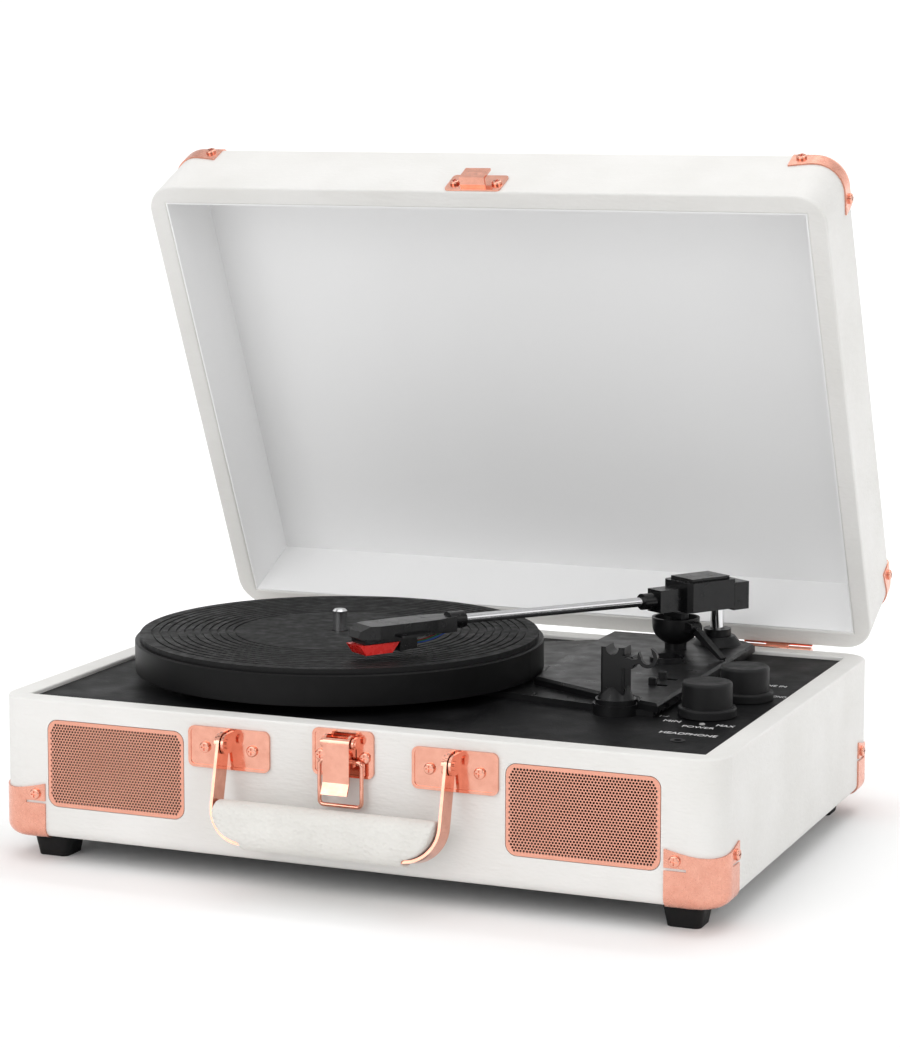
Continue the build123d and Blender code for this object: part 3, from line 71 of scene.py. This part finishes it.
# the room is bright above and darker towards the horizon, with cloudy patches, which gives the
# metal its contrast
world = bpy.data.worlds.new("room")
world.use_nodes = True
room = world.node_tree
sky = room.nodes["Background"]
sky.inputs["Color"].default_value = (1.0, 1.0, 1.0, 1.0)
heading = room.nodes.new("ShaderNodeTexCoord")
axes = room.nodes.new("ShaderNodeSeparateXYZ")
climb = room.nodes.new("ShaderNodeMapRange")
room.links.new(heading.outputs["Generated"], axes.inputs["Vector"])
room.links.new(axes.outputs["Z"], climb.inputs["Value"])
patches = room.nodes.new("ShaderNodeTexNoise")
patches.inputs["Scale"].default_value = 2.4
patches.inputs["Detail"].default_value = 1.0
room.links.new(heading.outputs["Generated"], patches.inputs["Vector"])
contrast = room.nodes.new("ShaderNodeMapRange")
room.links.new(patches.outputs["Fac"], contrast.inputs["Value"])
range_sockets = ("From Min", "From Max", "To Min", "To Max")
for node, limits in ((climb, (0.05, 0.45, 0.22, 0.92)), (contrast, (0.42, 0.58, 0.35, 1.5))):
    for socket, limit in zip(range_sockets, limits):
        node.inputs[socket].default_value = limit
brightness = room.nodes.new("ShaderNodeMath")
brightness.operation = "MULTIPLY"
room.links.new(climb.outputs["Result"], brightness.inputs[0])
room.links.new(contrast.outputs["Result"], brightness.inputs[1])
room.links.new(brightness.outputs["Value"], sky.inputs["Strength"])
bpy.context.scene.world = world


def soft_box(name, place, aim, size, watts):
    """A large square lamp that faces a point."""
    lamp = bpy.data.lights.new(name, "AREA")
    lamp.shape = "SQUARE"
    lamp.size = size
    lamp.energy = watts
    holder = bpy.data.objects.new(name, lamp)
    holder.location = place
    holder.rotation_euler = (Vector(aim) - Vector(place)).to_track_quat("-Z", "Y").to_euler()
    bpy.context.scene.collection.objects.link(holder)


soft_box("key_light", (-0.6, -1.9, 0.7), (0, 0.1, 0.25), 1.2, 9)
soft_box("fill_light", (1.8, -1.0, 0.9), (0, 0, 0.1), 1.3, 5)
soft_box("top_light", (0.1, 0.2, 1.9), (0, 0, 0.1), 1.6, 4)
soft_box("backdrop_light", (0.2, 0.9, 2.6), (0.2, 3.4, 1.3), 1.6, 52)

# the paper lies flat up to the bend, turns up through a wide curve and stands behind it
bend_y, bend_radius, paper_half_width, paper_drop = 2.0, 1.5, 5.0, 0.0001
bend = [(bend_y + bend_radius * math.sin(angle), bend_radius - bend_radius * math.cos(angle))
        for angle in (0.3, 0.6, 0.9, 1.2, 1.5708)]
floor_mesh = bpy.data.meshes.new("floor")
sheet = bmesh.new()
rows = []
for y, z in [(-3.0, 0.0), (bend_y, 0.0), *bend, (bend_y + bend_radius, 5.0)]:
    rows.append([sheet.verts.new((x, y, z - paper_drop)) for x in (-paper_half_width, paper_half_width)])
for low_row, high_row in zip(rows, rows[1:]):
    sheet.faces.new((low_row[0], low_row[1], high_row[1], high_row[0]))
sheet.to_mesh(floor_mesh)
sheet.free()
for face in floor_mesh.polygons:
    face.use_smooth = True
floor = bpy.data.objects.new("floor", floor_mesh)
bpy.context.scene.collection.objects.link(floor)
paper = bpy.data.materials.new("paper")
paper.use_nodes = True
paper_shader = paper.node_tree.nodes["Principled BSDF"]
paper_shader.inputs["Base Color"].default_value = (0.96, 0.96, 0.96, 1)
paper_shader.inputs["Roughness"].default_value = 0.9
floor_mesh.materials.append(paper)


# ---- Case box -------------------------------------------------------------------------------
# The body is a fibreboard box covered with white leatherette, glued on and rolled over the
# rim. The cover has fine pebbles and a streaked grain that runs along the case.

class Finish:
    """A procedural finish: its material, and the pieces of its node tree as they are joined."""

    def __init__(self, name, roughness, metallic=0.0, specular=0.5):
        self.material = bpy.data.materials.new(name)
        self.material.use_nodes = True
        self.tree = self.material.node_tree
        self.shader = self.tree.nodes["Principled BSDF"]
        self.shader.inputs["Roughness"].default_value = roughness
        self.shader.inputs["Metallic"].default_value = metallic
        self.shader.inputs["Specular IOR Level"].default_value = specular
        self.place = self.tree.nodes.new("ShaderNodeTexCoord").outputs["Object"]
        self.height = None

    def join(self, start, end):
        self.tree.links.new(start, end)

    def stretched(self, stretch):
        """Object coordinates in millimetres, squeezed along the axes that the grain follows."""
        mapping = self.tree.nodes.new("ShaderNodeMapping")
        mapping.inputs["Scale"].default_value = [1 / MM * s for s in stretch]
        self.join(self.place, mapping.inputs["Vector"])
        return mapping.outputs["Vector"]

    def noise(self, period, detail=3.0, stretch=(1, 1, 1), rough=0.5):
        """Cloudy noise with a period in millimetres."""
        node = self.tree.nodes.new("ShaderNodeTexNoise")
        node.inputs["Scale"].default_value = 1.0 / period
        node.inputs["Detail"].default_value = detail
        node.inputs["Roughness"].default_value = rough
        self.join(self.stretched(stretch), node.inputs["Vector"])
        return node.outputs["Fac"]

    def pebbles(self, period, stretch=(1, 1, 1), soft=0.6):
        """Rounded cells like leather grain, with a period in millimetres."""
        node = self.tree.nodes.new("ShaderNodeTexVoronoi")
        node.feature = "SMOOTH_F1"
        node.inputs["Scale"].default_value = 1.0 / period
        node.inputs["Smoothness"].default_value = soft
        self.join(self.stretched(stretch), node.inputs["Vector"])
        return node.outputs["Distance"]

    def ramp(self, value, low, high, first, second):
        """Map a value between two limits onto another range."""
        node = self.tree.nodes.new("ShaderNodeMapRange")
        for socket, limit in zip(range_sockets, (low, high, first, second)):
            node.inputs[socket].default_value = limit
        self.join(value, node.inputs["Value"])
        return node.outputs["Result"]

    def colour(self, value, first, second):
        """Colour the surface between two colours, where the value runs from 0 to 1."""
        node = self.tree.nodes.new("ShaderNodeMix")
        node.data_type = "RGBA"
        node.inputs["A"].default_value = (*first, 1)
        node.inputs["B"].default_value = (*second, 1)
        self.join(value, node.inputs["Factor"])
        self.join(node.outputs["Result"], self.shader.inputs["Base Color"])

    def roughness(self, value, first, second):
        """Vary the roughness between two values over the middle of a noise's range."""
        self.join(self.ramp(value, 0.3, 0.7, first, second), self.shader.inputs["Roughness"])

    def bump(self, value, depth, strength=1.0):
        """Add a relief, with its depth in millimetres."""
        node = self.tree.nodes.new("ShaderNodeBump")
        node.inputs["Distance"].default_value = depth * MM
        node.inputs["Strength"].default_value = strength
        self.join(value, node.inputs["Height"])
        if self.height is not None:
            self.join(self.height, node.inputs["Normal"])
        self.height = node.outputs["Normal"]
        self.join(self.height, self.shader.inputs["Normal"])


def dress(finish, *names):
    """Give CAD nodes a finish."""
    for name in names:
        nodes[name].data.materials.clear()
        nodes[name].data.materials.append(finish.material)


white_cloth = Finish("white_leatherette", 0.46, specular=0.42)
grain = white_cloth.pebbles(1.3, (0.45, 0.8, 1.0))
streak = white_cloth.noise(2.6, 4.0, (0.16, 0.4, 1.0), 0.6)
cloud = white_cloth.noise(46, 2.0)
white_cloth.colour(white_cloth.ramp(cloud, 0.35, 0.65, 0, 1),
                   (0.745, 0.735, 0.71), (0.79, 0.78, 0.76))
white_cloth.roughness(streak, 0.38, 0.58)
white_cloth.bump(grain, 0.30, 0.45)
white_cloth.bump(streak, 0.45, 0.60)
dress(white_cloth, "case_shell")

# ---- Bottom board, feet and their screws ----------------------------------------------------
# A black painted hardboard is let into the bottom. Four tapered rubber feet are screwed
# through it, and the board itself is held by four more screws.

black_board = Finish("black_board", 0.6)
fibre = black_board.noise(3.0, 5.0, (1, 1, 1), 0.7)
black_board.colour(fibre, (0.018, 0.018, 0.019), (0.035, 0.034, 0.033))
black_board.bump(fibre, 0.12, 0.5)
dress(black_board, "bottom_panel")

black_rubber = Finish("black_rubber", 0.62, specular=0.22)
dusting = black_rubber.noise(5.0, 4.0)
black_rubber.colour(dusting, (0.005, 0.005, 0.005), (0.010, 0.010, 0.0105))
black_rubber.roughness(dusting, 0.5, 0.75)
black_rubber.bump(black_rubber.noise(0.5, 2.0), 0.05, 0.4)
dress(black_rubber, "feet")

zinc = Finish("zinc", 0.32, 1.0)
brushed = zinc.noise(0.8, 4.0, (0.1, 0.1, 1.0))
zinc.colour(brushed, (0.55, 0.55, 0.56), (0.72, 0.72, 0.73))
zinc.roughness(brushed, 0.25, 0.42)
dress(zinc, "bottom_screws", "motor")

# ---- Deck -----------------------------------------------------------------------------------
# The deck is a board covered with black leather-paper, let in below the white rim. Its words
# are screened on in white beside the controls.

deck_cover = Finish("deck_cover", 0.5, specular=0.09)
deck_grain = deck_cover.pebbles(0.9)
deck_cloud = deck_cover.noise(18, 3.0)
deck_cover.colour(deck_cover.ramp(deck_cloud, 0.3, 0.7, 0, 1),
                  (0.004, 0.004, 0.0045), (0.009, 0.009, 0.0095))
deck_cover.roughness(deck_cloud, 0.42, 0.6)
deck_cover.bump(deck_grain, 0.12, 0.55)
dress(deck_cover, "deck_panel")

screen_ink = Finish("screen_ink", 0.5)
screen_ink.colour(screen_ink.noise(0.4, 3.0), (0.72, 0.72, 0.72), (0.85, 0.85, 0.85))
deck_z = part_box("deck_panel")[1].z
ink_half_thickness = 0.02


def lettering(word, x, y, height, width):
    """A screened word, centred x to the right and y behind the case's front, in millimetres."""
    text = bpy.data.curves.new("word", "FONT")
    text.body = word
    text.size = height * MM
    text.align_x = "CENTER"
    text.align_y = "CENTER"
    text.extrude = ink_half_thickness * MM
    typed = bpy.data.objects.new("word", text)
    bpy.context.scene.collection.objects.link(typed)
    bpy.context.view_layer.update()
    settled = typed.evaluated_get(bpy.context.evaluated_depsgraph_get())
    mesh = bpy.data.meshes.new_from_object(settled)
    natural_width = typed.dimensions.x
    bpy.data.objects.remove(typed)
    mesh.materials.clear()
    mesh.materials.append(screen_ink.material)
    letters = "".join(c for c in word.lower() if c.isalpha())
    piece = bpy.data.objects.new(f"word_{letters or 'switch_mark'}", mesh)
    piece.location = (x * MM, front_y + y * MM, deck_z + ink_half_thickness * MM)
    piece.scale = (width * MM / natural_width, 1.0, 1.0)
    bpy.context.scene.collection.objects.link(piece)
    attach(piece, "case")


lettering("MIN", 130.0, 77.8, 5.4, 8.0)
lettering("MAX", 155.4, 76.9, 5.4, 8.4)
lettering("POWER", 144.8, 69.8, 4.8, 15.0)
lettering("HEADPHONE", 145.0, 54.5, 5.6, 26.5)
lettering("LINE IN", 151.0, 172.0, 5.0, 12.0)
lettering("PHONO", 158.6, 148.0, 5.0, 10.0)
lettering("|-/", 123.3, 86.6, 3.0, 4.0)

# ---- Speakers and their grilles -------------------------------------------------------------
# Two small paper-cone speakers are screwed inside the front. Each grille is a thin steel sheet
# punched with staggered round holes, plated rose gold and pressed into a shallow bed. Black cloth
# is stretched behind it as a near-black sheet that also paints the shade inside the case, so the holes
# read dark.

rose_gold = Finish("rose_gold_satin", 0.26, 1.0)
rose_wear = rose_gold.noise(7, 5.0, rough=0.65)
rose_gold.colour(rose_gold.ramp(rose_wear, 0.35, 0.65, 0, 1),
                 (0.78, 0.36, 0.265), (0.85, 0.42, 0.315))
rose_gold.roughness(rose_gold.noise(2.6, 4.0), 0.20, 0.34)
rose_gold.bump(rose_gold.noise(1.4, 3.0), 0.012, 0.3)

sheet_metal = Finish("rose_gold_sheet", 0.38, 1.0)
sheet_metal.colour(sheet_metal.noise(12, 3.0), (0.78, 0.37, 0.27), (0.85, 0.42, 0.315))
sheet_metal.roughness(sheet_metal.noise(3, 4.0), 0.32, 0.46)

paper_cone = Finish("paper_cone", 0.85, specular=0.2)
paper_cone.colour(paper_cone.noise(2, 5.0), (0.015, 0.014, 0.013), (0.03, 0.028, 0.026))
dress(paper_cone, "speaker_cones", "speaker_left", "speaker_right")

# painted shade: this near-black cloth stands in for the shade inside the case behind the grille holes
painted_shade_cloth = Finish("painted_shade_cloth", 0.9, specular=0.1)
weave = painted_shade_cloth.pebbles(0.6)
painted_shade_cloth.colour(weave, (0.012, 0.009, 0.008), (0.028, 0.020, 0.017))
painted_shade_cloth.bump(weave, 0.1, 0.5)


grille_corner = 5 * MM
hole_radius, hole_pitch, plain_border = 0.57 * MM, 1.5 * MM, 1.0 * MM


def arc(x, z, radius, start, step, count):
    """Points on a circle round (x, z), from a starting angle in steps of a number of degrees."""
    angles = [math.radians(start + step * k) for k in range(count)]
    return [(x + radius * math.cos(angle), z + radius * math.sin(angle)) for angle in angles]


def punched_sheet(name, low, high):
    """Sheet with round corners and staggered holes, its front face at low.y."""
    half_width, half_height = (high.x - low.x) / 2, (high.z - low.z) / 2
    row_rise = hole_pitch * math.sqrt(3) / 2
    hole_edge = plain_border + hole_radius

    def in_field(x, z):
        past_x = max(abs(x) - (half_width - grille_corner), 0)
        past_z = max(abs(z) - (half_height - grille_corner), 0)
        return (math.hypot(past_x, past_z) <= grille_corner - hole_edge
                and abs(x) <= half_width - hole_edge and abs(z) <= half_height - hole_edge)

    rows = int(half_height / row_rise) + 1
    columns = int(half_width / hole_pitch) + 1
    centres = [((column + (row % 2) / 2) * hole_pitch, row * row_rise)
               for row in range(-rows, rows + 1) for column in range(-columns, columns + 1)]

    outline = []
    for across, upward, start in ((1, 1, 0), (-1, 1, 90), (-1, -1, 180), (1, -1, 270)):
        outline += arc(across * (half_width - grille_corner), upward * (half_height - grille_corner),
                       grille_corner, start, 15, 7)
    rings = [outline] + [arc(x, z, hole_radius, 0, 36, 10) for x, z in centres if in_field(x, z)]

    mesh = bmesh.new()
    edges = []
    for points in rings:
        corners = [mesh.verts.new((x, 0, z)) for x, z in points]
        edges += [mesh.edges.new(pair) for pair in zip(corners, corners[1:] + corners[:1])]
    bmesh.ops.triangle_fill(mesh, use_beauty=True, use_dissolve=False, edges=edges)
    grown = bmesh.ops.extrude_face_region(mesh, geom=list(mesh.faces))["geom"]
    back_face = [item for item in grown if isinstance(item, bmesh.types.BMVert)]
    bmesh.ops.translate(mesh, vec=(0, high.y - low.y, 0), verts=back_face)
    bmesh.ops.recalc_face_normals(mesh, faces=mesh.faces)
    data = bpy.data.meshes.new(name)
    mesh.to_mesh(data)
    mesh.free()
    piece = bpy.data.objects.new(name, data)
    piece.location = ((low.x + high.x) / 2, low.y, (low.z + high.z) / 2)
    bpy.context.scene.collection.objects.link(piece)
    return piece


cloth_inset, cloth_gap = 2 * MM, 0.1 * MM
for side in ("left", "right"):
    grille_low, grille_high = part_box(f"grille_{side}")
    grille = punched_sheet(f"punched_grille_{side}", grille_low, grille_high)
    grille.data.materials.append(sheet_metal.material)
    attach(grille, "case")
    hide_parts(f"grille_{side}")

    # a near-black sheet behind the grille, painting the shade inside the case
    cloth_mesh = bpy.data.meshes.new(f"painted_shade_cloth_{side}")
    cloth_y = grille_high.y + cloth_gap
    cloth_mesh.from_pydata(
        [(x, cloth_y, z) for z in (grille_low.z + cloth_inset, grille_high.z - cloth_inset)
         for x in (grille_low.x + cloth_inset, grille_high.x - cloth_inset)], [], [(0, 1, 3, 2)])
    cloth_mesh.materials.append(painted_shade_cloth.material)
    cloth = bpy.data.objects.new(cloth_mesh.name, cloth_mesh)
    bpy.context.scene.collection.objects.link(cloth)
    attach(cloth, "case")

# ---- Corner caps, plates, latch and screws --------------------------------------------------
# All are pressed steel, plated rose gold, and held to the case and lid by round-headed screws.
# The caps have a satin skin, while the plates, latch, handle strap and hinges are polished.

dress(rose_gold, *(f"{half}_corner_{end}_{side}" for half in ("base", "lid")
                   for end in ("front", "back") for side in ("left", "right")))

polished = Finish("rose_gold_polished", 0.12, 1.0)
polish_wear = polished.noise(5, 5.0, rough=0.6)
polished.colour(polished.ramp(polish_wear, 0.35, 0.65, 0, 1),
                (0.80, 0.375, 0.275), (0.88, 0.44, 0.33))
polished.roughness(polished.noise(2.0, 4.0), 0.08, 0.18)
dress(polished, "handle_plate_left", "handle_plate_right", "handle_frame", "pivot_pins", "latch_plate",
      "latch_lever", "latch_bail", "lid_catch", "case_screws", "lid_screws", "base_hinge_leaves",
      "lid_hinge_leaves", "hinge_pins")

# ---- Handle grip ----------------------------------------------------------------------------
# The grip is white leather over a padded core, wrapped round the metal strap and glued along
# the bottom. Its grain is coarser than the case cover's, and its edges are rounded by the padding.

grip_leather = Finish("grip_leather", 0.5, specular=0.4)
grip_grain = grip_leather.pebbles(1.7, (0.8, 1, 1))
grip_crease = grip_leather.noise(4.2, 5.0, (0.5, 1, 1), 0.65)
grip_tint = grip_leather.ramp(grip_leather.noise(20, 2.0), 0.3, 0.7, 0, 1)
grip_leather.colour(grip_tint, (0.68, 0.665, 0.63), (0.73, 0.715, 0.68))
grip_leather.roughness(grip_crease, 0.40, 0.6)
grip_leather.bump(grip_grain, 0.8, 0.7)
grip_leather.bump(grip_crease, 1.1, 0.6)

grip = bpy.data.objects.new("padded_grip", nodes["handle_grip"].data.copy())
bpy.context.scene.collection.objects.link(grip)
bpy.context.view_layer.objects.active = grip
for kind, settings in (("REMESH", {"mode": "VOXEL", "voxel_size": 0.7 * MM}),
                       ("SMOOTH", {"factor": 0.6, "iterations": 8})):
    modifier = grip.modifiers.new(kind.lower(), kind)
    for setting, value in settings.items():
        setattr(modifier, setting, value)
    bpy.ops.object.modifier_apply(modifier=modifier.name)
for face in grip.data.polygons:
    face.use_smooth = True
grip.data.materials.clear()
grip.data.materials.append(grip_leather.material)
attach(grip, "handle")
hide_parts("handle_grip")

# ---- Lid ------------------------------------------------------------------------------------
# The lid is a shallow fibreboard tray covered like the case, and hinged to its back wall. It is
# lined with smooth white paper-backed vinyl, glued in.

dress(white_cloth, "lid_shell")
lining = Finish("lid_lining", 0.38, specular=0.45)
lining.colour(lining.noise(40, 2.0), (0.93, 0.93, 0.93), (0.96, 0.96, 0.96))
lining.bump(lining.noise(1.5, 3.0), 0.02, 0.25)
dress(lining, "lid_lining")

# ---- Turntable chassis, platter and drive ---------------------------------------------------
# The chassis is moulded in black ABS with a light satin skin. The platter is stamped steel,
# coated black, and carries a ribbed rubber mat. A rubber belt drives it from the motor.

moulded = Finish("black_moulding", 0.34, specular=0.28)
moulded_cloud = moulded.noise(9, 4.0)
moulded.colour(moulded_cloud, (0.004, 0.004, 0.0045), (0.008, 0.008, 0.0085))
moulded.roughness(moulded_cloud, 0.26, 0.42)
moulded.bump(moulded.noise(0.35, 2.0), 0.02, 0.35)
dress(moulded, "turntable_chassis", "arm_rest", "arm_clip", "cue_housing", "cue_lift", "cue_lever",
      "speed_switch", "auto_stop_switch", "rear_sockets", "headphone_jack")

coated = Finish("coated_platter", 0.42, specular=0.14)
coated.colour(coated.noise(6, 4.0), (0.003, 0.003, 0.0032), (0.007, 0.007, 0.0072))
coated.bump(coated.noise(0.5, 2.0), 0.03, 0.3)
dress(coated, "platter")
dress(black_rubber, "platter_mat", "drive_belt")

bright_steel = Finish("bright_steel", 0.08, 1.0)
bright_marks = bright_steel.noise(1.6, 4.0, (1, 1, 0.2))
bright_steel.colour(bright_marks, (0.70, 0.70, 0.71), (0.82, 0.82, 0.83))
bright_steel.roughness(bright_marks, 0.05, 0.14)
dress(bright_steel, "spindle", "arm_pivot", "motor_pulley")

# ---- Tonearm --------------------------------------------------------------------------------
# A chromed tube runs from a moulded bearing block to a moulded headshell. The ceramic
# cartridge has a red stylus holder clipped under it, and four thin insulated leads hang behind
# it in shallow bows.

gloss_moulding = Finish("gloss_moulding", 0.22, specular=0.34)
gloss_cloud = gloss_moulding.noise(7, 4.0)
gloss_moulding.colour(gloss_cloud, (0.004, 0.004, 0.0045), (0.007, 0.007, 0.0075))
gloss_moulding.roughness(gloss_cloud, 0.16, 0.3)
dress(gloss_moulding, "arm_block", "headshell", "cartridge")

chromed = Finish("chromed_tube", 0.10, 1.0)
chrome_marks = chromed.noise(3, 4.0)
chromed.colour(chrome_marks, (0.66, 0.66, 0.67), (0.78, 0.78, 0.79))
chromed.roughness(chrome_marks, 0.06, 0.15)
dress(chromed, "arm_tube")

red_holder = Finish("red_holder", 0.28, specular=0.5)
red_cloud = red_holder.noise(3, 3.0)
red_holder.colour(red_cloud, (0.62, 0.012, 0.010), (0.74, 0.022, 0.016))
red_holder.roughness(red_cloud, 0.2, 0.34)
dress(red_holder, "stylus")

# each lead's bow is set out in millimetres from the pivot along the arm, and up from the shell
pivot_low, pivot_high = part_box("arm_pivot")
tip_low, tip_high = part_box("stylus")
shell_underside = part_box("headshell")[0].z
pivot_at = (pivot_low + pivot_high) / 2
along = (tip_low + tip_high) / 2 - pivot_at
along = Vector((along.x, along.y, 0)).normalized()
across = Vector((-along.y, along.x, 0))
lead_bow = ((168.0, 0.2), (178.0, -2.6), (188.0, -3.4))
lead_spacing, lead_radius = 2.0, 0.32
lead_colours = {"white": (0.80, 0.80, 0.78), "red": (0.62, 0.03, 0.02),
                "green": (0.03, 0.30, 0.08), "blue": (0.03, 0.10, 0.45)}
for count, (tint, colour) in enumerate(lead_colours.items()):
    insulation = Finish(f"{tint}_lead", 0.35)
    insulation.colour(insulation.noise(1.5, 2.0), [0.85 * part for part in colour], colour)
    lead_line = bpy.data.curves.new(f"{tint}_lead", "CURVE")
    lead_line.dimensions = "3D"
    lead_line.bevel_depth = lead_radius * MM
    lead_line.use_fill_caps = True
    bow = lead_line.splines.new("BEZIER")
    bow.bezier_points.add(2)
    side_step = (count - 1.5) * lead_spacing
    for point, (reach, lift) in zip(bow.bezier_points, lead_bow):
        point.co = pivot_at + along * reach * MM + across * side_step * MM
        point.co.z = shell_underside + lift * MM
        point.handle_left_type = point.handle_right_type = "AUTO"
    lead_line.materials.append(insulation.material)
    lead = bpy.data.objects.new(lead_line.name, lead_line)
    bpy.context.scene.collection.objects.link(lead)
    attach(lead, "tonearm")

# ---- Knobs, light and boards ----------------------------------------------------------------
# Soft-touch black knobs push onto the shafts of two rotary controls, which are soldered with the
# headphone socket's wires to a green glass-fibre board under the deck. A clear lens covers the
# power light.

soft_touch = Finish("soft_touch", 0.5, specular=0.26)
touch_cloud = soft_touch.noise(5, 4.0)
soft_touch.colour(touch_cloud, (0.006, 0.006, 0.0065), (0.011, 0.011, 0.0115))
soft_touch.roughness(touch_cloud, 0.45, 0.62)
soft_touch.bump(soft_touch.noise(0.4, 2.0), 0.02, 0.3)
dress(soft_touch, "volume_knob", "selector_knob")

lens = Finish("light_lens", 0.15)
lens.colour(lens.noise(0.6, 2.0), (0.30, 0.30, 0.30), (0.42, 0.41, 0.40))
dress(lens, "power_light")

circuit = Finish("circuit_board", 0.4)
circuit.colour(circuit.pebbles(2.0), (0.01, 0.07, 0.03), (0.03, 0.12, 0.05))
dress(circuit, "control_board")
